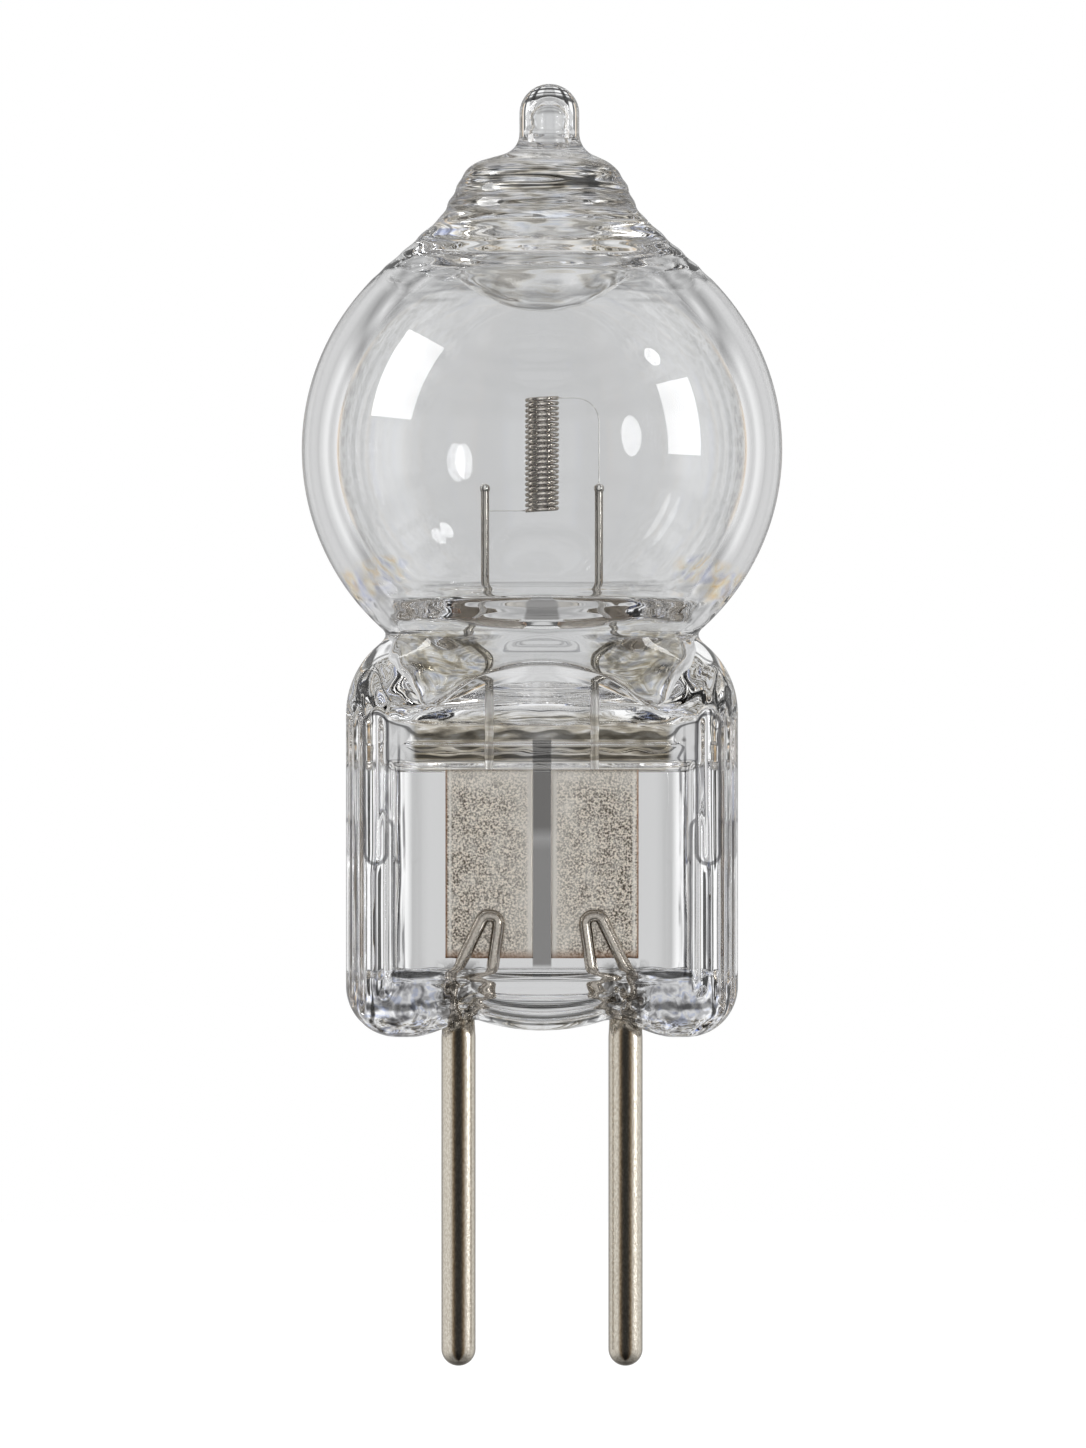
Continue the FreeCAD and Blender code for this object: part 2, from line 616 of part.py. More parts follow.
def make_hollow():
    """The gas space: the ball's inside, dented by the plug above and standing on the saddle below."""
    ball = primitive(
        "Sphere", "hollow_ball", Radius="BALL_RADIUS - bulb_wall", Placement__Base__z="BALL_CENTRE")
    plug = primitive(
        "Sphere", "tip_plug", Radius="plug_radius",
        Placement__Base__z="BALL_TOP - bulb_wall - plug_depth + plug_radius")
    dented = combine("Cut", "hollow_dented", ball, plug)
    throat = new_body("hollow_throat")
    sections = []
    for index, level in enumerate(HOLLOW_LEVELS):
        height = f"HORN_BOTTOM + {level} * (HOLLOW_TOP - HORN_BOTTOM)"
        section = new_sketch(throat, f"throat_section_{index}", out=height)
        mouth = "HOLLOW_HALF_WIDTH - hollow_mouth_flattening"
        half_depth = f"horn_depth / 2 + {level} * ({mouth} - horn_depth / 2)"
        draw_stadium(section, "HOLLOW_HALF_WIDTH", half_depth)
        sections.append(section)
    doc.recompute()
    loft(throat, "throat_skin", sections)
    deep = combine("Fuse", "hollow_deep", dented, throat)
    saddle = primitive(
        "Cylinder", "saddle", Radius="saddle_radius", Height="bulb_diameter",
        Placement__Base__y="BALL_RADIUS", Placement__Base__z="NECK_HEIGHT - saddle_drop - saddle_radius")
    saddle.Placement.Rotation = FreeCAD.Rotation(FreeCAD.Vector(1, 0, 0), 90)
    return combine("Cut", "gas_space", deep, saddle)


def make_envelope(metals):
    """The quartz envelope: bulb and pinch seal in one, hollowed out and closed round the metal in it."""
    glass = combine("Fuse", "glass_form", make_bulb(), make_pinch())
    blown = combine("Cut", "glass_blown", glass, make_hollow())
    seal = doc.addObject("Part::MultiFuse", "sealed_metal")
    seal.Shapes = metals
    doc.recompute()
    return combine("Cut", "quartz_envelope", blown, seal)


def check_document():
    """Stop if any object in the document failed."""
    for item in doc.Objects:
        if {"Invalid", "Error"} & set(item.State):
            raise RuntimeError(f"{item.Label} failed: {item.State}")


def write_parts(parts):
    """Check each piece and write it to a file of its own name."""
    for part in parts:
        if part.Shape.isNull() or not part.Shape.isValid():
            raise RuntimeError(f"{part.Label} has no valid shape")
    os.makedirs("parts", exist_ok=True)
    for part in parts:
        part.Shape.exportStep(f"parts/{part.Label}.step")
        print(part.Label, len(part.Shape.Solids), round(part.Shape.Volume, 4))


fill_sheet()
pins = [make_pin(side) for side in SIDE_NAMES]
foils = {side: make_foil(side) for side in SIDE_NAMES}
hairpins = [make_hairpin(side, foils[side]) for side in SIDE_NAMES]
leads = {side: make_lead(side, foils[side]) for side in SIDE_NAMES}
filament = make_filament(leads)
metals = [*pins, *foils.values(), *hairpins, *leads.values()]
envelope = make_envelope(metals)
check_document()
write_parts([envelope, filament, *metals])
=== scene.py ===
"""Looks of a halogen capsule lamp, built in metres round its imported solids.

The lamp stands upright: +Z runs up to the sealed tip, X runs across the two pins, and the front of the pinch
seal looks along -Y. Lengths are in millimetres here and become metres where a mesh is made.
"""
import math

import bmesh
import bpy
import numpy as np
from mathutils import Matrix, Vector


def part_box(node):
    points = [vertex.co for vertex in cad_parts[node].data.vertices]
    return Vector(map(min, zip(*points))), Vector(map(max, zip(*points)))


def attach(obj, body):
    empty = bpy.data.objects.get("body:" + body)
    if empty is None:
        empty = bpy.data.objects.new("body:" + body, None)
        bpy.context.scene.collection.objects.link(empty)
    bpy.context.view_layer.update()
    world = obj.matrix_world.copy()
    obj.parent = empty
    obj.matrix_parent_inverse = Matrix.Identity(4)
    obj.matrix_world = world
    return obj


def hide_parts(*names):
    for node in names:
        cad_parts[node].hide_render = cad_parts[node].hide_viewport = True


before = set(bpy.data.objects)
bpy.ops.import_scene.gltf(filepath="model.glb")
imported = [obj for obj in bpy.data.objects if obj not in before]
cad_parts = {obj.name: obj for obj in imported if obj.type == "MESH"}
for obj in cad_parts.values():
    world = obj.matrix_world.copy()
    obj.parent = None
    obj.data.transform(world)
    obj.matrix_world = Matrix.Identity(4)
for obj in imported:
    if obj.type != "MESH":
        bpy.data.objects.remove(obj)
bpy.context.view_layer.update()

MM = 0.001
WELD_DISTANCE = 2e-7
TINY = 1e-9
ROOT = "root"
LEFT, RIGHT = -1, 1
SIDE_NAMES = {LEFT: "left", RIGHT: "right"}


def node_box(node):
    """Give a node's lowest and highest corners in millimetres."""
    low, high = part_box(node)
    return np.array(low) / MM, np.array(high) / MM


glass_low, glass_high = node_box("quartz_envelope")
pin_low, pin_high = node_box("contact_pin_right")
foil_low, foil_high = node_box("seal_foil_right")
hairpin_low, hairpin_high = node_box("hairpin_right")
lead_low, lead_high = node_box("inner_lead_right")

# Ball and crown of the glass
BALL_RADIUS = min(*-glass_low[:2], *glass_high[:2])
BALL_CENTRE = 22.338
BALL_FOOT = 17.2
TIP_TOP = glass_high[2]
TIP_RADIUS = 1.14
TIP_OFFSET = 0.28
TIP_FILLET = 0.85
TIP_BORE_RADIUS = 0.62
TIP_BORE_SPAN = (33.2, 35.55)
TIP_BORE_WAVE = 0.06
TIP_BORE_WAVE_RATE = 9
CROWN_PEAK = 34.138
CROWN_CORNER = (2.84, 33.158)
CROWN_ROUND = 1.4
CROWN_FOOT = (3.74, 31.258)
CROWN_FOOT_ROUND = 1.8
RIPPLE_LENGTH = 0.62
RIPPLE_DEPTH = 0.03
RIPPLE_SPAN = (29.0, 32.8)
RIPPLE_FADE = 0.8
NECK_RIPPLE_SPAN = (15.0, 17.0)
NECK_RIPPLE_DEPTH = 0.03
NECK_RIPPLE_FADE = 0.6

# Neck, shoulders and pinch seal
PINCH_HALF_WIDTH = 7.45
PINCH_HALF_DEPTH = 2.1
SHOULDER_START = 12.3
SHOULDER_RADIUS = 3.38
NECK_HEIGHT = 15.233
NECK_HALF_DEPTH = 5.4
NECK_BLEND = 0.85
SLOPE_BLEND = 0.6
SLOPE_FOOT = 0.6
FOOT_ROUND = 1.95

# Window and jaw marks pressed into each broad face, and the side beads with their grooves and fingers
WINDOW_HALF_WIDTH = 5.6
WINDOW_SPAN = (2.35, 10.35)
WINDOW_DEPTH = 0.9
WINDOW_EDGE = 0.45
WINDOW_FLAT = 3.85
WINDOW_SLOPE_SHARE = 0.24
WINDOW_SIDE_STEP = 0.35
MARK_HALF_WIDTH = 5.15
MARK_SPAN = (10.5, 11.12)
MARK_DEPTH = 0.16
MARK_EDGE = 0.5
BROW_SPAN = (11.2, 12.4)
BROW_DEPTH = 0.26
BROW_ARCH = 0.3
FACET_STEP = 0.07
BEAD_GROOVES = [(7.16, 0.2, 0.3), (6.7, 0.28, 0.36)]
GROOVE_SPAN = (1.2, 12.2)
GROOVE_FADE = 1.2
FINGERS = [(5.98, 0.34, (1.7, 8.3)), (6.3, 0.44, (6.6, 12.3))]
FINGER_HEIGHT = 0.25
FINGER_FADE = 0.6
BACK_RELIEF = 0.3
THINNEST = 0.02

# Underside, with the rolls between the pins
LOBE_X = 5.0
BELLY_HALF_WIDTH = 2.45
BELLY_RISE = 0.65
BELLY_DROP = 0.4
LIFT_FADE = 2.2
ROLL_SPANS = [(0.95, 1.6), (0.35, 0.85)]
ROLL_DEPTH = 0.2
ROLL_ENDS = (1.2, 0.4)

# Gas space inside the glass
HOLLOW_RADIUS = 7.79
PLUG_RADIUS = 4.6
PLUG_BOTTOM = 27.6
CREASE_STEP = 0.05
CREASE_STEPS = 7
THROAT_HALF_WIDTH = 4.7
THROAT_SPAN = (13.203, 17.233)
THROAT_HALF_DEPTHS = (0.35, 3.2)
THROAT_BLEND = 0.8
HORN_ROUND = 0.5
SADDLE_RADIUS = 5.0
SADDLE_TOP = 15.103
SADDLE_BLEND = 0.3
SHELF_SPAN = (16.3, 17.2)
SHELF_DRAW = 0.35

# Unevenness of the hand-worked glass: its depth, the lengths of its waves along each axis, and its seed
WOBBLE_WAVES = 14
PIN_UNEVEN = (0.11, (0.6, 0.6, 0.6), 3)
SHOULDER_UNEVEN = (0.06, (1.2, 1.2, 1.0), 5)
BEAD_UNEVEN = (0.03, (1.0, 1.0, 3.0), 7)
LOBE_UNEVEN = (0.09, (0.9, 0.9, 0.9), 11)
CROWN_UNEVEN = (0.04, (2.6, 2.6, 0.7), 13)
THROAT_UNEVEN = (0.05, (1.0, 1.0, 0.8), 17)
PLUG_UNEVEN = (0.02, (1.2, 1.2, 0.35), 19)
MARK_UNEVEN = (0.011, (1.1, 1.1, 0.5), 23)

# Where that unevenness lies, by width and height. It fades out below the two half depths that come last.
PIN_ZONE = 1.1
PIN_ZONE_TOP = (1.8, 3.2)
SHOULDER_ZONE = (4.0, 5.6)
SHOULDER_ZONE_SPAN = (11.4, 15.6)
SHOULDER_ZONE_FADE = 1.0
BEAD_ZONE = (5.2, 5.8)
LOBE_ZONE = (3.4, 4.2)
LOBE_ZONE_TOP = (2.0, 2.9)
MARK_ZONE_FADE = 0.3
CROWN_ZONE_FADE = 1.2
PLUG_ZONE = (2.5, 4.2)
THROAT_ZONE = (1.5, 3.0)
PINCH_THIN = 1.0
THROAT_THIN = 0.5

# How finely the glass is laid out. Each run of rings below the ball has its top and its spacing.
BALL_POINTS = 176
PINCH_POINTS = 2 * BALL_POINTS
HOLLOW_POINTS = 140
HALF_POINTS_LENGTH = 0.4
CROWN_REACH = 2.5
CROWN_SPACING = 0.13
BALL_SPACING = 0.34
HOLLOW_SPACING = 0.25
THROAT_RINGS = 46
SOLE_RINGS = 26
RING_RUNS = [
    (BALL_FOOT, 0.12), (SHOULDER_START, 0.07), (MARK_SPAN[0] - 0.8, 0.24), (WINDOW_SPAN[0] + 0.7, 0.08)]

# Metal
PIN_X = (pin_low[0] + pin_high[0]) / 2
PIN_RADIUS = (pin_high[0] - pin_low[0]) / 2
PIN_ROOT_RADIUS = 0.6
PIN_ROOT_RIM = 0.03
PIN_SIDES = 72
WIRE_SIDES = 24
SIDEWAYS_LIMIT = 0.9
HAIRPIN_RADIUS = (hairpin_high[1] - hairpin_low[1]) / 2
HAIRPIN_Y = (hairpin_low[1] + hairpin_high[1]) / 2
HAIRPIN_STEP = 0.06
FOIL_X = (foil_low[0] + foil_high[0]) / 2
FOIL_HALF_WIDTH = (foil_high[0] - foil_low[0]) / 2
FOIL_HALF_THICKNESS = (foil_high[1] - foil_low[1]) / 2
FOIL_FEATHER = 0.7
FOIL_FEATHER_START = 0.88
FOIL_COLUMNS = 41
FOIL_ROWS = 91
LEAD_RADIUS = 0.16
LEAD_BEAD_RADIUS = (lead_high[1] - lead_low[1]) / 2
LEAD_Y = (lead_low[1] + lead_high[1]) / 2
LEAD_X = lead_high[0] - LEAD_BEAD_RADIUS
LEAD_TOP = lead_high[2] - LEAD_BEAD_RADIUS
LEAD_STEP = 0.12
JOGGLE_SPAN = (15.933, 17.233)
JOGGLE_BEND = 2.0
COIL_SPAN = (20.008, 24.308)
COIL_TURNS = 21.5
COIL_TURN_STEPS = 40
COIL_RADIUS = 0.5805
STRAND_RADIUS = 0.082
STRAND_SIDES = 12
TAIL_RADIUS = 0.02
TAIL_BEND = 0.9
TAIL_SIDES = 8
TAIL_STEPS = (0.2, 0.1)

# Corners of a hairpin: how far inwards from the pin's axis and up from its root, and the bend there
HAIRPIN_RISE = 4.62 - pin_high[2]
HAIRPIN_RUN = [
    (-0.25, 0, 0), (-0.25, 1.2, 0.8), (0.96, HAIRPIN_RISE, 0.31), (1.58, HAIRPIN_RISE, 0.31),
    (1.2, 1.05, 0.45), (0.25, 0.35, 0.35), (0.25, 0, 0)]

# Tints of the glass: its faint cloudy tone, and painted shade in its creases, along lines, between the foils
# and in specks round the pins' roots
CLEAR_QUARTZ = [(0.91, 0.915, 0.92), (0.94, 0.945, 0.95)]
CREASE_PAINTED_SHADE = (0.10, 0.095, 0.085)
BEAD_LINE_PAINTED_SHADE = (0.05, 0.05, 0.055)
BELLY_LINE_PAINTED_SHADE = (0.04, 0.04, 0.04)
SEAM_PAINTED_SHADE = (0.225, 0.22, 0.215)
ROOT_SPECK_PAINTED_SHADE = (0.05, 0.045, 0.04)
SEAM_HALF_WIDTH = 0.38
SEAM_SPAN = (2.6, 11.6)
ROOT_SPECK_HALF_WIDTH = 0.95
ROOT_SPECK_SPAN = (0.1, 3.0)
ROOT_SPECK_GRAIN = 0.35

# Dark lines of painted shade in the glass, standing for its dark refractions: places and half widths, and the
# share of a half width that is darkest
LINE_EDGE = 1.5
LINE_LEVEL = 0.95
BELLY_LINES = [(0.5, 0.05), (0.78, 0.07), (1.17, 0.08)]
BELLY_LINES_SPAN = (0, 2.0)
BELLY_LINE_CORE = 0.6
BEAD_LINES = [(5.5, 0.05), (7.15, 0.07)]
BEAD_LINES_REACH = (5.3, 7.5)
BEAD_LINE_CORE = 0.7
BEAD_LINE_WAVE = 0.16
BEAD_LINE_SPAN = (0.8, 12.6)
FINGER_LINE_HALF_WIDTH = 0.064
FINGER_LINE_CORE = 0.75
FINGER_COVER_EDGE = 0.01

# Painted glints and painted shade, mottled over the glass: the colours that each kind runs through, then
# where a patch lies, its strength and its grains
MOTTLE_RANGE = (0.38, 0.66)
MOTTLE_DETAIL = 1.5
PATCH_FADE = 0.22
WING_PAINTED_GLINTS_AND_SHADE = [
    (0.20, 0.17, 0.11), (0.50, 0.44, 0.30), (0.92, 0.90, 0.84), (0.94, 0.94, 0.93), (0.55, 0.60, 0.72)]
FOOT_PAINTED_FIRE_GLINTS = [
    (0.55, 0.60, 0.85), (0.92, 0.92, 0.93), (0.95, 0.88, 0.70), (0.98, 0.66, 0.28), (0.95, 0.90, 0.80)]
CROWN_PAINTED_GLINTS_AND_SHADE = [
    (0.20, 0.17, 0.12), (0.80, 0.75, 0.64), (0.95, 0.95, 0.94), (0.95, 0.95, 0.96), (0.74, 0.80, 0.93)]
LOBE_PAINTED_GLINTS_AND_SHADE = [
    (0.08, 0.08, 0.09), (0.45, 0.45, 0.48), (0.93, 0.94, 0.95), (0.94, 0.94, 0.95), (0.50, 0.58, 0.85)]
BROW_PAINTED_SHADE_AND_GLINTS = [(0.18, 0.15, 0.10), (0.48, 0.43, 0.33), (0.56, 0.51, 0.41), (0.93, 0.91, 0.87)]
BAR_PAINTED_SHADE = [(0.08, 0.06, 0.04), (0.24, 0.20, 0.13), (0.30, 0.25, 0.17), (0.75, 0.68, 0.55)]
PAINTED_LIGHT_PATCHES = [
    ((1.5, 5.4), (13.5, 15.8), 0.8, (0.5, (1.5, 1, 0.6), WING_PAINTED_GLINTS_AND_SHADE)),
    ((5.8, 8.8), (16.2, 17.7), 0.9, (1.5, (1.2, 1, 0.5), FOOT_PAINTED_FIRE_GLINTS)),
    ((-3, 9), (29.9, 34.0), 0.9, (0.36, (3, 3, 0.5), CROWN_PAINTED_GLINTS_AND_SHADE)),
    ((3.2, 8.5), (-0.5, 2.6), 0.85, (0.42, (1, 1, 1), LOBE_PAINTED_GLINTS_AND_SHADE))]
PAINTED_LIGHT_MARKS = [
    (BROW_SPAN, BROW_ARCH, (0.3, (2.5, 1, 0.8), BROW_PAINTED_SHADE_AND_GLINTS)),
    (MARK_SPAN, 0, (0.3, (3, 1, 0.5), BAR_PAINTED_SHADE))]

# Colours and wear of the metal, and the colours of painted light on the tails, the leads and the foils' edges
TAIL_PAINTED_PALE = (0.88, 0.87, 0.85)
LEAD_PAINTED_LIGHT = (0.96, 0.95, 0.93)
WETTED_RISE = 0.6
WETTED_FADE = 0.04
FOIL_WEAR_AND_HIGHLIGHT = (1.0, 0.96, 0.89)
FOIL_RUST = (0.30, 0.16, 0.09)

# Studio lamps, in metres: direction from the ball, size, brightness, and where each shows
SOFTBOX_DISTANCE = 0.35
SOFTBOXES = [
    ("softbox_left", (-0.87, -0.18, 0.46), (0.16, 0.20), 9.0, "skin"),
    ("softbox_right", (0.93, -0.31, 0.21), (0.12, 0.18), 9.0, "skin"),
    ("glint_right", (0.74, -0.66, 0.10), (0.07, 0.12), 8.0, "depth"),
    ("glint_high", (0.74, -0.16, 0.62), (0.05, 0.05), 9.0, "depth"),
    ("glint_left", (-0.87, -0.01, 0.50), (0.03, 0.14), 3.0, "depth")]

# Floor
FLOOR_HALF_WIDTH = 1200
FLOOR_DROP = 40
FLOOR_GREY = (0.9, 0.9, 0.9)
FLOOR_GLOW = (0.16, 0.16, 0.16)

# Studio walls by degrees round from the back, and their levels by degrees above the horizon
WHITE = (1, 1, 1)
WARM = (0.95, 0.66, 0.34)
BLUE = (0.34, 0.46, 0.92)
GOLD = (0.42, 0.36, 0.24)
UMBER = (0.10, 0.08, 0.05)
BRONZE = (0.34, 0.26, 0.17)
SEPIA = (0.10, 0.08, 0.06)
CLEAR_WALLS = [
    (0, 0.69), (5, 0.69), (8, 0.80), (12, 0.80), (16, 0.75), (22, 0.71), (26, 0.63), (30, 0.70), (35, 0.90),
    (38, 0.90), (42, 0.70), (45, 0.76), (48, 0.85), (180, 0.85)]
CLEAR_LEVELS = [
    (-90, 0.95), (-52, 0.95), (-46, 0.5), (-40, 0.95), (-34, 0.6), (-28, 0.95), (-22, 0.6), (-14, 1.0),
    (14, 1.0), (22, 0.5), (28, 0.9), (34, 0.4), (40, 0.95), (46, 0.4), (52, 0.95), (90, 0.95)]
SOLID_WALLS = [
    (0, 0.69), (4, 0.69), (9, 0.55), (11, 1.1), (21, 1.1), (23, 0.03), (29, 0.03), (32, 1.2), (39, 1.2),
    (40, 0.03), (44, 0.03), (47, 1.1), (49, WARM), (53, 0.02), (77, 0.02), (79, BLUE), (82, 1.2), (99, 1.2),
    (102, WARM), (104, 0.02), (126, 0.02), (128, BLUE), (130, 0.95), (140, 0.95), (143, WARM), (145, 0.03),
    (158, 0.03), (160, BLUE), (163, 1.0), (180, 1.0)]
SOLID_LEVELS = [
    (-90, 0.95), (-60, 0.95), (-57, 0.05), (-52, 0.05), (-50, 1.0), (-46, 1.0), (-44, 0.05), (-39, 0.05),
    (-37, 1.0), (-32, 1.0), (-31, 0.1), (-29, 0.1), (-28, 1.0), (-23, 0.05), (-18, 0.05), (-15, 1.0),
    (9, 1.0), (12, 0.3), (16, 0.3), (18, 1.0), (22, 1.0), (90, 1.0)]
COIL_WALLS = [(0, 0.1), (118, 0.06), (138, 0.12), (150, 0.5), (162, 1.1), (180, 1.1)]
COIL_LEVELS = [(-90, 0.02), (-50, 0.03), (-30, 0.9), (0, 1.0), (65, 1.0), (80, 0.1), (90, 0.03)]
METAL_WALLS = [
    (0, 0.35), (40, 0.45), (60, 0.85), (118, 0.9), (130, 0.75), (142, BRONZE), (152, SEPIA), (166, 0.035),
    (180, 0.03)]
METAL_LEVELS = [(-90, 0.25), (-50, 0.35), (-20, 0.9), (0, 1.0), (90, 1.0)]

# Bright and dark shards in the studio: their colours by noise, and where they lie round and up
SHARD_SCALE = 14.0
SHARDS = [
    (0.30, 0.02), (0.38, UMBER), (0.43, GOLD), (0.47, 1.0), (0.56, 1.0), (0.60, GOLD), (0.64, UMBER),
    (0.75, 0.02)]
SHARDS_ROUND = [
    (0, 0.0), (48, 0.0), (54, 0.5), (76, 0.5), (82, 0.0), (98, 0.0), (104, 0.5), (126, 0.5), (130, 0.0),
    (180, 0.0)]
SHARDS_RISE = [(-90, 0.0), (23, 0.0), (28, 0.75), (56, 0.75), (64, 0.0), (90, 0.0)]
SHARDS_RISE_REACH = [(0, 1.0), (12, 1.0), (24, 0.5), (56, 1.0), (125, 1.0), (140, 0.0), (180, 0.0)]

# Times that light crosses glass, and turns in all, through the ball, from the coil and from the wall
BALL_CROSSINGS = (4, 5)
COIL_CROSSINGS = (4, 6)
COIL_REACH = [(0, 0.0), (100, 0.0), (118, 1.0), (180, 1.0)]
WALL_CROSSINGS = (2, 4)
WALL_REACH = [(0, 1.0), (48, 1.0), (50, 0.0), (112, 0.0), (120, 1.0), (180, 1.0)]

# Camera
VIEW_HEIGHT = 55.06
VIEW_CENTRE = (0.038, 11.90)
CAMERA_DISTANCE = 500
SENSOR_WIDTH = 36


def smooth_step(low, high, value):
    """Rise smoothly from 0 at low to 1 at high."""
    share = np.clip((value - low) / (high - low), 0, 1)
    return share * share * (3 - 2 * share)


def smooth_max(first, second, blend):
    """Take the larger of two values, with a round where they cross."""
    share = np.clip(0.5 + (first - second) / (2 * blend), 0, 1)
    return second + (first - second) * share + blend * share * (1 - share)


def band(span, edge, value):
    """Give 1 between the two ends of a span and 0 outside, with soft edges centred on its ends."""
    low, high = span
    rise = smooth_step(low - edge / 2, low + edge / 2, value)
    return rise * (1 - smooth_step(high - edge / 2, high + edge / 2, value))


def hump(span, value):
    """Give a round hump that is 1 midway along a span and 0 at and past its ends."""
    low, high = span
    share = np.abs(value - (low + high) / 2) / ((high - low) / 2)
    return 1 - smooth_step(0, 1, share)


def facet(span, height):
    """Give a flat facet, 0 deep at a span's upper end and 1 deep at its lower end, where it stops short."""
    low, high = span
    share = np.clip((high - height) / (high - low), 0, 1)
    return share * smooth_step(low - FACET_STEP, low, height)


def wobble(points, zone, uneven):
    """Give a smooth unevenness at points, as strong as a zone says, by its depth, wave lengths and seed."""
    depth, lengths, seed = uneven
    maker = np.random.default_rng(seed)
    heading = maker.normal(size=(WOBBLE_WAVES, 3))
    heading /= np.linalg.norm(heading, axis=1)[:, None]
    pushes = 2 * math.pi * heading / np.array(lengths)
    phases = maker.uniform(0, 2 * math.pi, WOBBLE_WAVES)
    waves = 2 * np.sin(points @ pushes.T + phases).mean(axis=1)
    return depth * zone * waves


def arc(centre, radius, start, end, steps=48):
    """Give points along an arc, by its angles in degrees."""
    angles = np.radians(np.linspace(start, end, steps))
    return [(centre[0] + radius * np.cos(a), centre[1] + radius * np.sin(a)) for a in angles]


def rounded_run(corners, steps=24):
    """Give points along straight runs through corners, each a point and a radius, 0 for a sharp corner."""
    points = []
    for index, (corner, radius) in enumerate(corners):
        here = np.array(corner, float)
        if not radius:
            points.append(here)
            continue
        back = np.array(corners[index - 1][0]) - here
        ahead = np.array(corners[index + 1][0]) - here
        back = back / np.linalg.norm(back)
        ahead = ahead / np.linalg.norm(ahead)
        half_angle = math.acos(np.clip(back @ ahead, -1, 1)) / 2
        centre = here + (back + ahead) / np.linalg.norm(back + ahead) * radius / math.sin(half_angle)
        reach = radius / math.tan(half_angle)
        from_centre = here + back * reach - centre
        to_centre = here + ahead * reach - centre
        sweep = math.pi - 2 * half_angle
        for share in np.linspace(0, 1, steps):
            mixed = from_centre * math.sin((1 - share) * sweep) + to_centre * math.sin(share * sweep)
            points.append(centre + mixed / math.sin(sweep))
    return np.array(points)


def spread(points, spacing):
    """Give points about a spacing apart along a run of points."""
    points = np.array(points)
    steps = np.linalg.norm(np.diff(points, axis=0), axis=1)
    along = np.concatenate([[0], np.cumsum(steps)])
    count = max(2, int(round(along[-1] / spacing)) + 1)
    places = np.linspace(0, along[-1], count)
    return np.stack([np.interp(places, along, column) for column in points.T], axis=1)


def softened(path):
    """Round the creases of a run of points by averaging each point with its neighbours."""
    path = spread(path, CREASE_STEP)
    count = 2 * CREASE_STEPS + 1
    kernel = np.ones(count) / count
    columns = [np.convolve(column, kernel, "valid") for column in path.T]
    path[CREASE_STEPS:-CREASE_STEPS] = np.stack(columns, axis=1)
    return path


def standing(flat, out, side=RIGHT):
    """Stand a flat run of points up on one side of the lamp, some way out from its middle plane."""
    return np.stack([side * flat[:, 0], np.full(len(flat), out), flat[:, 1]], axis=1)


def stadium(half_width, half_depth, count):
    """Give points round a flat-sided outline with half-round ends, from its right end, closer at its ends."""
    shares = np.arange(count) * 4 / count
    quarter = shares.astype(int)
    part = shares - quarter
    part = np.where(quarter % 2 == 1, 1 - part, part)
    flat = max(half_width - half_depth, 0)
    round_length = half_depth * math.pi / 2
    length = np.interp(part, (0, 0.5, 1), (0, HALF_POINTS_LENGTH, 1)) * (round_length + flat)
    angle = np.minimum(length / max(half_depth, TINY), math.pi / 2)
    across = flat + half_depth * np.cos(angle) - np.maximum(length - round_length, 0)
    out = half_depth * np.sin(angle)
    side = np.where((quarter == 0) | (quarter == 3), 1, -1)
    face = np.where(quarter < 2, 1, -1)
    return across * side, out * face


def flat_ring(radius, height, count):
    """Give a level round ring about the lamp's axis."""
    across, out = stadium(radius, radius, count)
    return np.stack([across, out, np.full(count, height)], axis=1)


def new_piece(name, points, faces):
    """Make a smooth mesh object from points in millimetres, with doubled points welded."""
    mesh = bpy.data.meshes.new(name)
    mesh.from_pydata((np.asarray(points) * MM).tolist(), [], faces)
    work = bmesh.new()
    work.from_mesh(mesh)
    bmesh.ops.remove_doubles(work, verts=work.verts, dist=WELD_DISTANCE)
    bmesh.ops.dissolve_degenerate(work, edges=work.edges, dist=WELD_DISTANCE)
    work.to_mesh(mesh)
    work.free()
    for polygon in mesh.polygons:
        polygon.use_smooth = True
    return new_object(name, mesh)


def new_object(name, data):
    """Put a mesh, a lamp or a camera into the scene."""
    item = bpy.data.objects.new(name, data)
    bpy.context.scene.collection.objects.link(item)
    return item


def joined(parts):
    """Put several sets of points and faces together."""
    points = []
    faces = []
    start = 0
    for part_points, part_faces in parts:
        points.append(part_points)
        faces += [tuple(index + start for index in face) for face in part_faces]
        start += len(part_points)
    return np.concatenate(points), faces


def skin_faces(ring_count, point_count, start=0, flipped=False):
    """Give the four-sided faces that join a stack of closed rings."""
    faces = []
    for ring in range(ring_count - 1):
        low = start + ring * point_count
        for point in range(point_count):
            after = (point + 1) % point_count
            face = (low + point, low + after, low + point_count + after, low + point_count + point)
            faces.append(face[::-1] if flipped else face)
    return faces


def stitch_faces(upper, lower, count):
    """Give the faces that join a ring to one below it with twice as many points."""
    faces = []
    for point in range(count):
        after = (point + 1) % count
        middle = lower + 2 * point + 1
        faces.append((upper + after, upper + point, middle))
        faces.append((upper + point, lower + 2 * point, middle))
        faces.append((upper + after, middle, lower + 2 * after))
    return faces


def sole_faces(start, count):
    """Give the faces that close the lowest ring, from its front edge to its back edge."""
    faces = []
    for point in range(count // 2):
        after = point + 1
        across = ((count - point) % count, count - after, after, point)
        faces.append(tuple(start + index for index in dict.fromkeys(across)))
    return faces


def lathe(path, sides, centre=(0, 0)):
    """Turn a half section, as radius and height, round an upright axis."""
    angles = np.arange(sides) * 2 * math.pi / sides
    rings = []
    for radius, height in path:
        across = centre[0] + radius * np.cos(angles)
        out = centre[1] + radius * np.sin(angles)
        rings.append(np.stack([across, out, np.full(sides, height)], axis=1))
    return np.concatenate(rings), skin_faces(len(rings), sides)


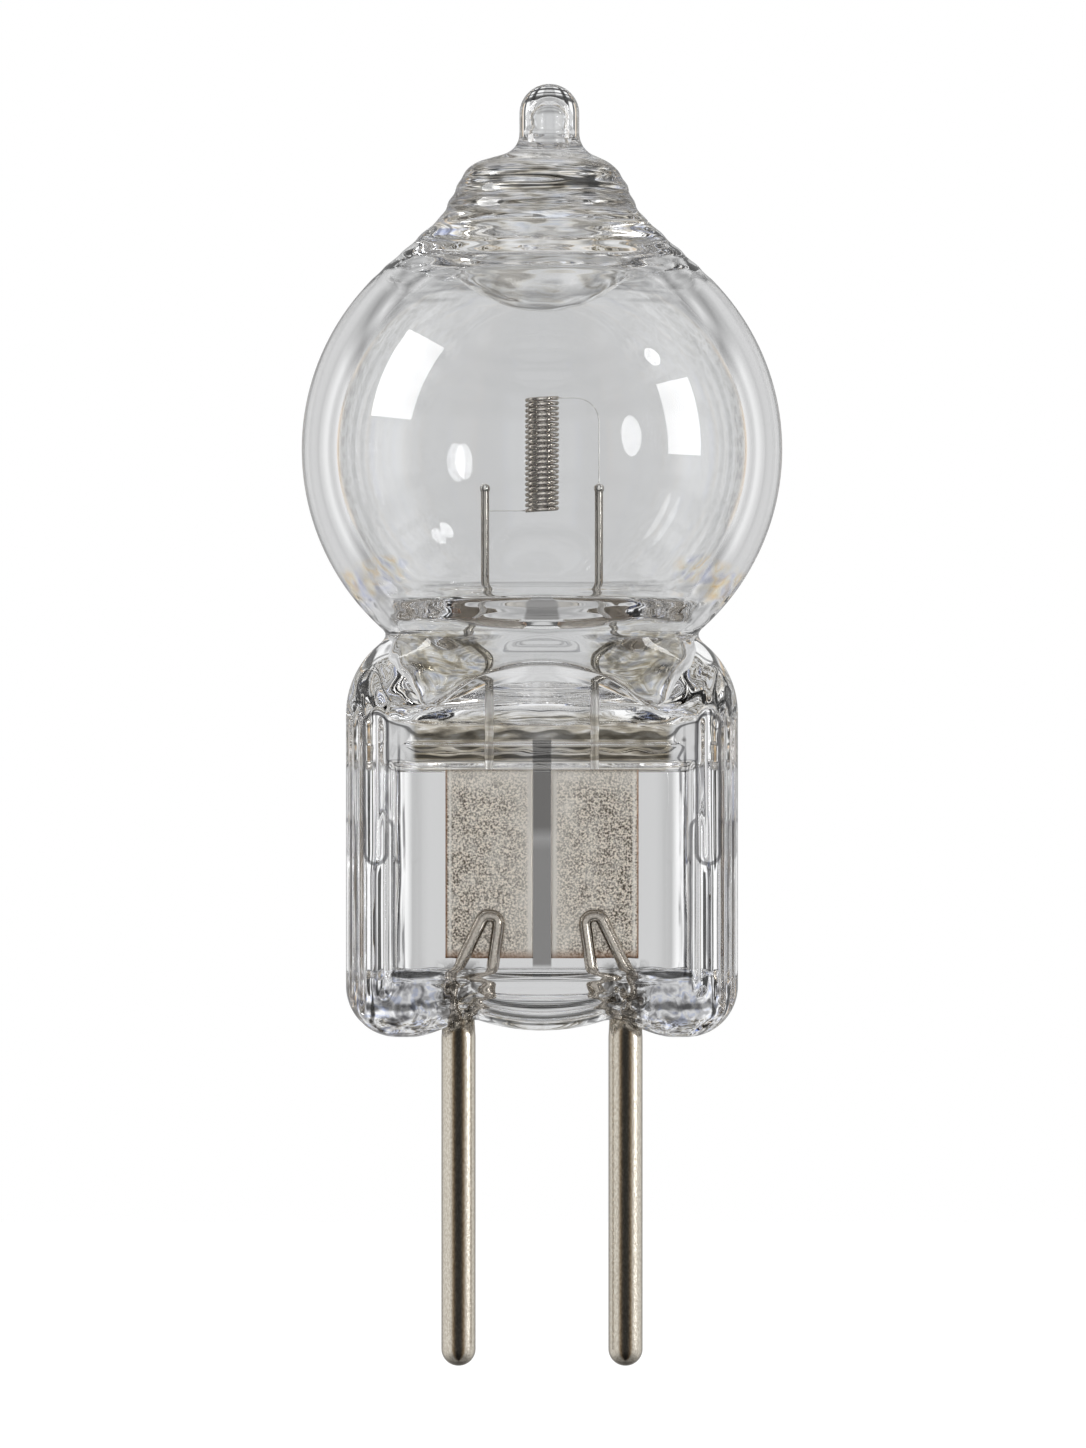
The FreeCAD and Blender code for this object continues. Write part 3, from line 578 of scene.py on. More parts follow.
def tube(path, radius, sides):
    """Sweep a round wire with closed ends along a run of points."""
    ahead = np.gradient(path, axis=0)
    ahead /= np.linalg.norm(ahead, axis=1)[:, None]
    start = np.array([0, 1, 0]) if abs(ahead[0][1]) < SIDEWAYS_LIMIT else np.array([1, 0, 0])
    angles = np.arange(sides) * 2 * math.pi / sides
    rings = []
    for place, direction in zip(path, ahead):
        start = start - direction * (start @ direction)
        start = start / np.linalg.norm(start)
        other = np.cross(direction, start)
        rings.append(place + radius * (np.outer(np.cos(angles), start) + np.outer(np.sin(angles), other)))
    rings = [np.repeat(path[:1], sides, axis=0), *rings, np.repeat(path[-1:], sides, axis=0)]
    return np.concatenate(rings), skin_faces(len(rings), sides)


def ball_width(height, radius):
    """Give the half width of a ball round the lamp's ball centre at a height."""
    return np.sqrt(np.maximum(radius ** 2 - (height - BALL_CENTRE) ** 2, 0))


def round_inset(reach, radius):
    """Give how far a quarter round has drawn an outline in, at a reach from the round's start."""
    reach = np.clip(reach, 0, radius)
    return radius - np.sqrt(radius ** 2 - reach ** 2)


def outer_half_width(height):
    """Give the glass's half width across the pins, from its sole to the ball."""
    shoulder = PINCH_HALF_WIDTH - round_inset(height - SHOULDER_START, SHOULDER_RADIUS)
    sole = round_inset(FOOT_ROUND - height, FOOT_ROUND)
    return smooth_max(ball_width(height, BALL_RADIUS), shoulder, NECK_BLEND) - sole


def outer_half_depth(height):
    """Give the glass's half depth from front to back, from its sole to the ball."""
    level = np.clip((height - SHOULDER_START) / (NECK_HEIGHT - SHOULDER_START), -1, 1)
    slope = PINCH_HALF_DEPTH + level * (NECK_HALF_DEPTH - PINCH_HALF_DEPTH)
    slope = smooth_max(slope, PINCH_HALF_DEPTH, SLOPE_FOOT)
    sole = round_inset(FOOT_ROUND - height, FOOT_ROUND)
    return smooth_max(ball_width(height, BALL_RADIUS), slope, SLOPE_BLEND) - sole


def window_side(reach):
    """Give the share of the window's depth: flat, then a gentle rise and a step to the bead."""
    rise = np.clip((reach - WINDOW_FLAT) / (WINDOW_HALF_WIDTH - WINDOW_FLAT), 0, 1) ** 2
    step = smooth_step(WINDOW_HALF_WIDTH, WINDOW_HALF_WIDTH + WINDOW_SIDE_STEP, reach)
    return 1 - WINDOW_SLOPE_SHARE * rise - (1 - WINDOW_SLOPE_SHARE) * step


def pressed_depth(across, height):
    """Give how deep the jaws' marks are pressed into a broad face."""
    reach = np.abs(across)
    window = window_side(reach) * band(WINDOW_SPAN, WINDOW_EDGE, height) * WINDOW_DEPTH
    ends = 1 - smooth_step(MARK_HALF_WIDTH - MARK_EDGE, MARK_HALF_WIDTH + MARK_EDGE, reach)
    brow_low, brow_high = BROW_SPAN
    brow_high = brow_high - BROW_ARCH * (reach / MARK_HALF_WIDTH) ** 2
    mark = facet(MARK_SPAN, height) * MARK_DEPTH + facet((brow_low, brow_high), height) * BROW_DEPTH
    return np.maximum(window, mark * ends)


def edge_relief(across, height):
    """Give the depth of the rolls between the pins and of the beads' grooves, less the fingers' height."""
    reach = np.abs(across)
    between_pins = 1 - smooth_step(PIN_X - ROLL_ENDS[0], PIN_X - ROLL_ENDS[1], reach)
    roll = sum(hump(span, height) for span in ROLL_SPANS) * ROLL_DEPTH * between_pins
    grooves = sum(hump((place - half, place + half), reach) * depth for place, half, depth in BEAD_GROOVES)
    grooves = grooves * band(GROOVE_SPAN, GROOVE_FADE, height)
    fingers = []
    for place, half, span in FINGERS:
        fingers.append(hump((place - half, place + half), reach) * band(span, FINGER_FADE, height))
    return roll + grooves - np.maximum(*fingers) * FINGER_HEIGHT


def unevenness(points):
    """Give how far the hand-worked glass of the pinch stands off its ideal face."""
    across = np.abs(points[:, 0])
    height = points[:, 2]
    by_pin = np.exp(-((across - PIN_X) / PIN_ZONE) ** 2) * (1 - smooth_step(*PIN_ZONE_TOP, height))
    on_shoulder = smooth_step(*SHOULDER_ZONE, across) * band(SHOULDER_ZONE_SPAN, SHOULDER_ZONE_FADE, height)
    on_bead = smooth_step(*BEAD_ZONE, across)
    in_mark = band((MARK_SPAN[0], BROW_SPAN[1]), MARK_ZONE_FADE, height)
    in_lobe = smooth_step(*LOBE_ZONE, across) * (1 - smooth_step(*LOBE_ZONE_TOP, height))
    zones = [
        (by_pin, PIN_UNEVEN), (on_shoulder, SHOULDER_UNEVEN), (on_bead, BEAD_UNEVEN), (in_mark, MARK_UNEVEN),
        (in_lobe, LOBE_UNEVEN)]
    return sum(wobble(points, zone, uneven) for zone, uneven in zones)


def underside_lift(across):
    """Give how far the underside is raised between its two lobes."""
    reach = np.abs(across)
    rise = BELLY_RISE * (1 - smooth_step(BELLY_HALF_WIDTH, LOBE_X, reach))
    belly = np.clip(1 - (reach / BELLY_HALF_WIDTH) ** 2, 0, 1)
    return rise - BELLY_DROP * belly


def neck_ripple(height):
    """Give how far the rings left by drawing the hot neck stand out."""
    depth = NECK_RIPPLE_DEPTH * band(NECK_RIPPLE_SPAN, NECK_RIPPLE_FADE, height)
    return depth * np.sin(2 * math.pi * height / RIPPLE_LENGTH)


def pinch_ring(height):
    """Give one ring of the glass between its sole and the ball."""
    half_width = float(outer_half_width(height))
    half_depth = max(float(outer_half_depth(height)), 0)
    across, out = stadium(half_width, half_depth, PINCH_POINTS)
    room = np.maximum(np.abs(out) - THINNEST, 0)
    relief = np.where(out < 0, 1, BACK_RELIEF)
    pressed = pressed_depth(across, height) + relief * edge_relief(across, height)
    out = out - np.sign(out) * np.minimum(pressed, room)
    out = out + np.sign(out) * neck_ripple(height)
    lift = underside_lift(across) * (1 - smooth_step(0, LIFT_FADE, height))
    ring = np.stack([across, out, height + lift], axis=1)
    ring[:, 1] += np.sign(out) * unevenness(ring) * np.minimum(1, np.abs(out) / PINCH_THIN) * relief
    return ring


def pinch_rings():
    """Give the rings below the ball, from the top down, close together where the form turns."""
    heights = []
    for (start, spacing), (end, _) in zip(RING_RUNS, RING_RUNS[1:] + [(FOOT_ROUND, 0)]):
        heights.append(np.linspace(start, end, int((start - end) / spacing), endpoint=False))
    sole = FOOT_ROUND * (1 - np.cos(np.linspace(math.pi / 2, 0, SOLE_RINGS)))
    return [pinch_ring(height) for height in np.concatenate([*heights, sole])]


def crown_path():
    """Give the half section from the tip's top down to the foot of the ball, as radius and height."""
    tip_centre = TIP_TOP - TIP_RADIUS
    slope = (CROWN_PEAK - CROWN_CORNER[1]) / CROWN_CORNER[0]
    root = (TIP_RADIUS, CROWN_PEAK - slope * TIP_RADIUS)
    reach = math.hypot(CROWN_FOOT[0], CROWN_FOOT[1] - BALL_CENTRE)
    bearing = math.degrees(math.atan2(CROWN_FOOT[1] - BALL_CENTRE, CROWN_FOOT[0]))
    touch = bearing - math.degrees(math.acos(BALL_RADIUS / reach))
    foot = -math.degrees(math.asin((BALL_CENTRE - BALL_FOOT) / BALL_RADIUS))
    ball = arc((0, BALL_CENTRE), BALL_RADIUS, touch, foot, steps=200)
    corners = [
        ((TIP_RADIUS, tip_centre), 0), (root, TIP_FILLET), (CROWN_CORNER, CROWN_ROUND),
        (CROWN_FOOT, CROWN_FOOT_ROUND), (ball[0], 0)]
    tip = arc((0, tip_centre), TIP_RADIUS, 90, 0)
    return np.concatenate([tip[:-1], rounded_run(corners), ball[1:]])


def crown_ring(radius, height):
    """Give one ring of the crown or the ball, rippled and uneven in the crown and off centre in the tip."""
    ripple = RIPPLE_DEPTH * band(RIPPLE_SPAN, RIPPLE_FADE, height)
    radius = radius + ripple * math.sin(2 * math.pi * height / RIPPLE_LENGTH)
    ring = flat_ring(radius, height, BALL_POINTS)
    if radius > TIP_RADIUS:
        uneven = wobble(ring, band(RIPPLE_SPAN, CROWN_ZONE_FADE, height), CROWN_UNEVEN)
        ring[:, :2] *= 1 + (uneven / radius)[:, None]
    if height > CROWN_FOOT[1]:
        ring[:, 0] += TIP_OFFSET * (1 - smooth_step(TIP_RADIUS, CROWN_CORNER[0], radius))
    return ring


def crown_rings():
    """Give the rings of the tip, the crown and the ball, from the top down."""
    path = crown_path()
    fine = spread(path[path[:, 1] > CROWN_FOOT[1] - CROWN_REACH], CROWN_SPACING)
    coarse = spread(path[path[:, 1] <= fine[-1][1]], BALL_SPACING)
    return [crown_ring(*place) for place in np.concatenate([fine, coarse[1:-1]])]


def throat_half_width(height):
    """Give the gas space's half width across the pins, from the horns' ends to the ball."""
    horn = THROAT_HALF_WIDTH - round_inset(THROAT_SPAN[0] + HORN_ROUND - height, HORN_ROUND)
    return smooth_max(ball_width(height, HOLLOW_RADIUS), horn, THROAT_BLEND)


def throat_half_depth(height):
    """Give the gas space's half depth from front to back, from the horns' ends to the ball."""
    level = np.clip((height - THROAT_SPAN[0]) / (THROAT_SPAN[1] - THROAT_SPAN[0]), 0, 1)
    depth = THROAT_HALF_DEPTHS[0] + level * (THROAT_HALF_DEPTHS[1] - THROAT_HALF_DEPTHS[0])
    below = np.clip(1 - (height - THROAT_SPAN[0]) / HORN_ROUND, 0, 1)
    closing = np.sqrt(1 - below ** 2)
    shelf = 1 - SHELF_DRAW * (1 - smooth_step(*SHELF_SPAN, height))
    return smooth_max(ball_width(height, HOLLOW_RADIUS) * shelf, depth * closing, THROAT_BLEND / 2) * closing


def throat_ring(height):
    """Give one ring of the gas space below the ball, bent over the saddle and down into its horns."""
    half_depth = max(float(throat_half_depth(height)), 0)
    across, out = stadium(float(throat_half_width(height)), half_depth, HOLLOW_POINTS)
    under = SADDLE_RADIUS ** 2 - across ** 2
    saddle = SADDLE_TOP - SADDLE_RADIUS + np.sqrt(np.maximum(under, 0))
    ring = np.stack([across, out, smooth_max(height, saddle, SADDLE_BLEND)], axis=1)
    uneven = wobble(ring, smooth_step(*THROAT_ZONE, np.abs(across)), THROAT_UNEVEN)
    ring[:, 1] += np.sign(out) * uneven * np.minimum(1, np.abs(out) / THROAT_THIN)
    return ring


def gas_ball_path():
    """Give the half section of the gas space from under its plug to the foot of the ball."""
    plug_centre = PLUG_BOTTOM + PLUG_RADIUS
    apart = plug_centre - BALL_CENTRE
    top = (plug_centre + BALL_CENTRE) / 2 + (HOLLOW_RADIUS ** 2 - PLUG_RADIUS ** 2) / 2 / apart
    crease = math.sqrt(HOLLOW_RADIUS ** 2 - (top - BALL_CENTRE) ** 2)
    plug_angle = math.degrees(math.asin(crease / PLUG_RADIUS))
    plug = arc((0, plug_centre), PLUG_RADIUS, -90, -90 + plug_angle, steps=80)
    rise = math.degrees(math.asin((top - BALL_CENTRE) / HOLLOW_RADIUS))
    foot = -math.degrees(math.asin((BALL_CENTRE - BALL_FOOT) / HOLLOW_RADIUS))
    ball = arc((0, BALL_CENTRE), HOLLOW_RADIUS, rise, foot, steps=200)
    return np.concatenate([plug, ball[1:]])


def hollow_rings():
    """Give the rings of the gas space, from the plug at its top down to the saddle and its horns."""
    rings = []
    for radius, height in spread(softened(gas_ball_path()), HOLLOW_SPACING):
        ring = flat_ring(radius, height, HOLLOW_POINTS)
        ring[:, 2] += wobble(ring, 1 - smooth_step(*PLUG_ZONE, radius), PLUG_UNEVEN)
        rings.append(ring)
    heights = np.linspace(BALL_FOOT, THROAT_SPAN[0], THROAT_RINGS)
    return rings + [throat_ring(height) for height in heights[1:]]


def tip_bore():
    """The short blind bore that the exhaust tube leaves in the tip."""
    low, high = TIP_BORE_SPAN
    top = arc((0, high - TIP_BORE_RADIUS), TIP_BORE_RADIUS, 90, 0, steps=16)
    foot = arc((0, low + TIP_BORE_RADIUS), TIP_BORE_RADIUS, 0, -90, steps=16)
    wall = []
    for height in np.linspace(high - TIP_BORE_RADIUS, low + TIP_BORE_RADIUS, 24)[1:-1]:
        wall.append((TIP_BORE_RADIUS * (1 + TIP_BORE_WAVE * math.sin(height * TIP_BORE_WAVE_RATE)), height))
    return lathe([*top, *wall, *foot], 64, (TIP_OFFSET, 0))


def make_envelope():
    """The glass: its outer skin and, inside it, the skins of the gas space and of the tip's bore."""
    ball = crown_rings()
    pinch = pinch_rings()
    hollow = hollow_rings()
    pinch_start = len(ball) * BALL_POINTS
    hollow_start = pinch_start + len(pinch) * PINCH_POINTS
    faces = skin_faces(len(ball), BALL_POINTS, flipped=True)
    faces += stitch_faces(pinch_start - BALL_POINTS, pinch_start, BALL_POINTS)
    faces += skin_faces(len(pinch), PINCH_POINTS, start=pinch_start, flipped=True)
    faces += sole_faces(hollow_start - PINCH_POINTS, PINCH_POINTS)
    faces += skin_faces(len(hollow), HOLLOW_POINTS, start=hollow_start)
    skin = np.concatenate(ball + pinch + hollow), faces
    return new_piece("envelope_glass", *joined([skin, tip_bore()]))


def make_pin(side):
    """A contact pin with a round nose and a tapered root in the glass."""
    nose = arc((0, pin_low[2] + PIN_RADIUS), PIN_RADIUS, -90, 0, steps=24)
    shank = [(PIN_RADIUS, height) for height in np.linspace(nose[-1][1], 0, 30)[1:]]
    root = [(radius, pin_high[2]) for radius in (PIN_ROOT_RADIUS, PIN_ROOT_RADIUS - PIN_ROOT_RIM, 0)]
    return new_piece(f"pin_{SIDE_NAMES[side]}", *lathe([*nose, *shank, *root], PIN_SIDES, (side * PIN_X, 0)))


def make_hairpin(side):
    """A doubled wire with both feet on the pin and its bend on the foil."""
    corners = [((PIN_X - inwards, pin_high[2] + up), bend) for inwards, up, bend in HAIRPIN_RUN]
    path = standing(spread(rounded_run(corners), HAIRPIN_STEP), HAIRPIN_Y, side)
    return new_piece(f"hairpin_wire_{SIDE_NAMES[side]}", *tube(path, HAIRPIN_RADIUS, WIRE_SIDES))


def make_lead(side):
    """An inner lead with a joggle and a melted bead at its top."""
    corners = [
        ((FOIL_X, lead_low[2]), 0), ((FOIL_X, JOGGLE_SPAN[0]), JOGGLE_BEND),
        ((LEAD_X, JOGGLE_SPAN[1]), JOGGLE_BEND), ((LEAD_X, LEAD_TOP), 0)]
    path = standing(spread(rounded_run(corners), LEAD_STEP), LEAD_Y, side)
    bead = arc((0, LEAD_TOP), LEAD_BEAD_RADIUS, -90, 90, steps=20)
    parts = [tube(path, LEAD_RADIUS, WIRE_SIDES), lathe(bead, WIRE_SIDES, (side * LEAD_X, LEAD_Y))]
    return new_piece(f"lead_wire_{SIDE_NAMES[side]}", *joined(parts))


def make_filament():
    """The close-wound coil and its two fine tails."""
    foot, top = COIL_SPAN
    turns = np.linspace(0, COIL_TURNS, int(COIL_TURNS * COIL_TURN_STEPS))
    angle = math.pi + 2 * math.pi * turns
    height = foot + (top - foot) * turns / COIL_TURNS
    helix = np.stack([COIL_RADIUS * np.cos(angle), LEAD_Y + COIL_RADIUS * np.sin(angle), height], axis=1)
    parts = [tube(helix, STRAND_RADIUS, STRAND_SIDES)]
    left = [((-LEAD_X, foot), 0), ((-COIL_RADIUS, foot), 0)]
    right = [((COIL_RADIUS, top), 0), ((LEAD_X, top), TAIL_BEND), ((LEAD_X, LEAD_TOP), 0)]
    for corners, step in zip((left, right), TAIL_STEPS):
        path = standing(spread(rounded_run(corners), step), LEAD_Y)
        parts.append(tube(path, TAIL_RADIUS, TAIL_SIDES))
    return new_piece("filament", *joined(parts))


def make_foil(side):
    """A sealing foil with feathered long edges."""
    heights = np.linspace(foil_low[2], foil_high[2], FOIL_ROWS)
    across, height = np.meshgrid(np.linspace(-1, 1, FOIL_COLUMNS), heights)
    feather = 1 - FOIL_FEATHER * smooth_step(FOIL_FEATHER_START, 1, np.abs(across))
    place = side * FOIL_X + across * FOIL_HALF_WIDTH
    front, middle, back = [
        np.stack([place, face * FOIL_HALF_THICKNESS * feather, height], axis=2) for face in (-1, 0, 1)]
    rings = np.concatenate([front, back[:, ::-1]], axis=1)
    ends = np.concatenate([middle, middle[:, ::-1]], axis=1)
    rings = [ends[0], *rings, ends[-1]]
    faces = skin_faces(len(rings), 2 * FOIL_COLUMNS)
    return new_piece(f"foil_{SIDE_NAMES[side]}", np.concatenate(rings), faces)


class Nodes:
    """The nodes of a material or of the world, with short ways to add them."""

    def __init__(self, owner):
        owner.use_nodes = True
        self.nodes = owner.node_tree.nodes
        self.links = owner.node_tree.links

    def feed(self, socket, value):
        """Let an input follow an output, or set it to a plain value or a colour."""
        if isinstance(value, bpy.types.NodeSocket):
            self.links.new(value, socket)
        elif socket.type == "RGBA":
            socket.default_value = (*value, 1)
        else:
            socket.default_value = value

    def add(self, kind, **settings):
        """Add a node and set its properties or its inputs."""
        node = self.nodes.new(kind)
        for name, value in settings.items():
            if hasattr(node, name):
                setattr(node, name, value)
            else:
                self.feed(node.inputs[name.replace("_", " ")], value)
        return node

    def ramp(self, source, *stops):
        """Turn a value into a colour by stops of place and grey level or colour."""
        node = self.add("ShaderNodeValToRGB", Fac=source)
        elements = node.color_ramp.elements
        while len(elements) < len(stops):
            elements.new(0.5)
        for element, (place, colour) in zip(elements, stops):
            element.position = place
            element.color = (*colour, 1) if isinstance(colour, tuple) else (colour, colour, colour, 1)
        return node.outputs["Color"]

    def mix(self, share, first, second, kind="MIX"):
        """Lay a second colour over a first by a share, or multiply them by one."""
        node = self.add("ShaderNodeMix", data_type="RGBA", blend_type=kind)
        for name, value in (("Factor_Float", share), ("A_Color", first), ("B_Color", second)):
            self.feed(next(item for item in node.inputs if item.identifier == name), value)
        return next(item for item in node.outputs if item.identifier == "Result_Color")

    def math(self, operation, *values):
        """Work out a sum of outputs and plain numbers."""
        node = self.add("ShaderNodeMath", operation=operation)
        for socket, value in zip(node.inputs, values):
            self.feed(socket, value)
        return node.outputs[0]

    def product(self, first, *others):
        """Multiply values."""
        for other in others:
            first = self.math("MULTIPLY", first, other)
        return first

    def distance(self, first, second):
        """Give how far two steps square to each other lead."""
        return self.math("SQRT", self.math("ADD", self.product(first, first), self.product(second, second)))


class Shader(Nodes):
    """A material's nodes, with where a point lies on the lamp, in metres."""

    def __init__(self, name):
        self.material = bpy.data.materials.new(name)
        super().__init__(self.material)
        self.surface = self.nodes["Principled BSDF"]
        self.point = self.add("ShaderNodeTexCoord").outputs["Object"]
        across, self.out, self.height = self.add("ShaderNodeSeparateXYZ", Vector=self.point).outputs
        self.reach = self.math("ABSOLUTE", across)

    def set(self, **values):
        """Set the surface's inputs."""
        for name, value in values.items():
            self.feed(self.surface.inputs[name.replace("_", " ")], value)

    def noise(self, size, stretch=(1, 1, 1), detail=3.0):
        """Add noise whose grains are about a size in millimetres, drawn out by a stretch along each axis."""
        scale = [1 / (size * MM * part) for part in stretch]
        mapping = self.add("ShaderNodeMapping", Vector=self.point, Scale=scale)
        grain = self.add("ShaderNodeTexNoise", Vector=mapping.outputs["Vector"], Scale=1.0, Detail=detail)
        return grain.outputs["Fac"]

    def share(self, source, low, high):
        """Turn a length in metres into its share of the way between two lengths in millimetres."""
        span = self.add("ShaderNodeMapRange", Value=source, From_Min=low * MM, From_Max=high * MM)
        return span.outputs["Result"]


def mottle(shader, size, stretch, colours):
    """Give a mottled colour of grains of a size, which runs through some colours."""
    places = np.linspace(*MOTTLE_RANGE, len(colours))
    return shader.ramp(shader.noise(size, stretch, MOTTLE_DETAIL), *zip(places, colours))


def patch(shader, reach, span, level):
    """Give a level in a patch either side of the lamp's middle, fading out at its edges, and 0 elsewhere."""
    stops = [(0.0, 0), (PATCH_FADE, 1), (1 - PATCH_FADE, 1), (1.0, 0)]
    across = shader.ramp(shader.share(shader.reach, *reach), *stops)
    up = shader.ramp(shader.share(shader.height, *span), *stops)
    return shader.product(across, up, level)


def bowed_height(shader, bow, half_width):
    """Give a point's height above a line that sinks by a bow, in millimetres, over a half width."""
    squared = shader.product(shader.reach, shader.reach)
    return shader.math("MULTIPLY_ADD", squared, bow / half_width ** 2 / MM, shader.height)


def arched_band(shader, span, bow):
    """Give 1 within a jaw mark whose edges bow down towards its ends, and 0 outside."""
    height = shader.share(bowed_height(shader, bow, MARK_HALF_WIDTH), *span)
    up = shader.ramp(height, (0.0, 0), (0.06, 1), (0.85, 0.9), (1.0, 0))
    reach = shader.share(shader.reach, 0, MARK_HALF_WIDTH)
    across = shader.ramp(reach, (0.0, 0.55), (0.3, 0.95), (0.93, 0.95), (0.97, 0))
    return shader.product(up, across)


def line_stops(lines, ends, core):
    """Give ramp stops for soft lines, each a place and a half width, on the way between two ends."""
    low, high = ends
    stops = []
    for line, half in lines:
        for edge, level in ((-LINE_EDGE, 0), (-core, LINE_LEVEL), (core, LINE_LEVEL), (LINE_EDGE, 0)):
            stops.append(((line + edge * half - low) / (high - low), level))
    return stops


def belly_lines(shader):
    """Give 1 along the dark lines of painted shade between the rolls of the belly, and 0 elsewhere."""
    height = shader.share(bowed_height(shader, -BELLY_DROP, BELLY_HALF_WIDTH), *BELLY_LINES_SPAN)
    up = shader.ramp(height, *line_stops(BELLY_LINES, BELLY_LINES_SPAN, BELLY_LINE_CORE))
    across = shader.ramp(shader.share(shader.reach, 0, BELLY_HALF_WIDTH), (0.8, 1), (0.95, 0))
    return shader.product(up, across)


def finger_lines(shader, reach):
    """Give 1 along the dark outlines of painted shade round the fingers, each over the one below it, and 0
    elsewhere.
    """
    fingers = 0.0
    for place, half_width, (low, high) in FINGERS:
        across = shader.math("SUBTRACT", reach, (place + BEAD_LINE_WAVE / 2) * MM)
        along = shader.math("ABSOLUTE", shader.math("SUBTRACT", shader.height, (low + high) / 2 * MM))
        straight = (high - low) / 2 - half_width
        beyond = shader.math("MAXIMUM", shader.math("SUBTRACT", along, straight * MM), 0.0)
        apart = shader.share(shader.distance(across, beyond), 0, 1)
        stops = line_stops([(half_width, FINGER_LINE_HALF_WIDTH)], (0, 1), FINGER_LINE_CORE)
        outside = shader.ramp(apart, (half_width - FINGER_COVER_EDGE, 0), (half_width, 1))
        fingers = shader.math("MAXIMUM", shader.ramp(apart, *stops), shader.product(fingers, outside))
    return fingers


def bead_lines(shader):
    """Give 1 along the dark lines of painted shade that run down the side beads and round their fingers, and
    0 elsewhere.
    """
    wave = shader.noise(0.9, (1, 1, 2.5))
    reach = shader.math("MULTIPLY_ADD", wave, BEAD_LINE_WAVE * MM, shader.reach)
    stops = line_stops(BEAD_LINES, BEAD_LINES_REACH, BEAD_LINE_CORE)
    across = shader.ramp(shader.share(reach, *BEAD_LINES_REACH), *stops)
    up = shader.ramp(shader.share(shader.height, *BEAD_LINE_SPAN), (0.0, 0), (0.1, 1), (0.9, 1), (1.0, 0))
    broken = shader.ramp(shader.noise(1.2, (0.4, 0.4, 2)), (0.4, 0.15), (0.55, 1))
    return shader.math("MAXIMUM", shader.product(across, up, broken), finger_lines(shader, reach))


def creases(shader):
    """Give a high share in the valleys of the glass, where shade is painted dark, and 0 on its even faces."""
    form = shader.add("ShaderNodeNewGeometry")
    return shader.ramp(form.outputs["Pointiness"], (0.34, 0.8), (0.43, 0))


def seam(shader):
    """Give 1 in the dark strip of painted shade between the foils, and 0 elsewhere."""
    across = shader.ramp(shader.share(shader.reach, 0, SEAM_HALF_WIDTH), (0.0, 1), (0.86, 1), (1.0, 0))
    up = shader.ramp(
        shader.share(shader.height, *SEAM_SPAN), (0.0, 0), (0.02, 0.85), (0.5, 0.85), (0.55, 0.7), (0.6, 1),
        (0.96, 1), (0.99, 0))
    return shader.product(across, up)


def root_speck_shade(shader):
    """Give 1 in the dark specks of painted shade round the pins' roots, and 0 elsewhere."""
    apart = shader.math("ABSOLUTE", shader.math("SUBTRACT", shader.reach, PIN_X * MM))
    across = shader.ramp(shader.share(apart, 0, ROOT_SPECK_HALF_WIDTH), (0.6, 1), (1.0, 0))
    up = shader.ramp(shader.share(shader.height, *ROOT_SPECK_SPAN), (0.0, 0), (0.1, 1), (0.8, 1), (1.0, 0))
    specks = shader.ramp(shader.noise(ROOT_SPECK_GRAIN), (0.47, 0), (0.52, 0.95))
    return shader.product(across, up, specks)


def quartz():
    """Clear fused quartz with faint cloudy streaks, overlaid with painted shade and painted glints: darker
    creases and lines, mottled patches, the jaw marks' brow and bar, a dark strip between the foils and specks
    round the pins' roots.
    """
    shader = Shader("quartz")
    shader.set(Roughness=0.0, IOR=1.46, Transmission_Weight=1.0)
    colour = shader.ramp(shader.noise(3.0, (1, 1, 2)), *zip((0.3, 0.7), CLEAR_QUARTZ))
    # Painted shade: darker creases, and dark lines on the beads, round the fingers and between the belly's
    # rolls
    tints = [(creases(shader), CREASE_PAINTED_SHADE), (bead_lines(shader), BEAD_LINE_PAINTED_SHADE)]
    tints.append((belly_lines(shader), BELLY_LINE_PAINTED_SHADE))
    # Painted glints and painted shade in mottled patches on the neck's wings, the ball's foot, the crown and
    # the lobes
    for reach, span, level, grains in PAINTED_LIGHT_PATCHES:
        tints.append((patch(shader, reach, span, level), mottle(shader, *grains)))
    # Painted shade and painted glints in the brow and the bar of the jaw marks
    for span, bow, grains in PAINTED_LIGHT_MARKS:
        tints.append((arched_band(shader, span, bow), mottle(shader, *grains)))
    # Painted shade in the dark strip between the foils and in specks round the pins' roots
    tints += [(seam(shader), SEAM_PAINTED_SHADE), (root_speck_shade(shader), ROOT_SPECK_PAINTED_SHADE)]
    for share, tint in tints:
        colour = shader.mix(share, colour, tint)
    shader.set(Base_Color=colour)
    return shader.material


def metal(name, dark, light, roughness, grain, stretch=(1, 1, 1), depth=0.0003):
    """A metal whose colour, gloss and surface vary with one grain. Gives its shader and its colour."""
    shader = Shader(name)
    source = shader.noise(grain, stretch)
    low, high = roughness
    gloss = shader.ramp(source, (0.3, low), (0.7, high))
    raised = shader.add("ShaderNodeBump", Strength=1.0, Distance=depth * MM, Height=source)
    colour = shader.ramp(source, (0.38, dark), (0.62, light))
    shader.set(Metallic=1.0, Roughness=gloss, Normal=raised.outputs["Normal"], Base_Color=colour)
    return shader, colour


def tungsten():
    """Grey tungsten on the coil, with painted light on its fine tails, which are coloured pale."""
    shader, colour = metal(
        "tungsten", (0.48, 0.45, 0.41), (0.72, 0.68, 0.63), (0.05, 0.09), 0.06, depth=0.0005)
    beyond = shader.distance(shader.reach, shader.math("SUBTRACT", shader.out, LEAD_Y * MM))
    # Painted light: the tails are coloured pale
    tail = shader.ramp(shader.share(beyond, COIL_RADIUS + STRAND_RADIUS, LEAD_X), (0.0, 0), (0.1, 1))
    shader.set(Base_Color=shader.mix(tail, colour, TAIL_PAINTED_PALE))
    return shader.material


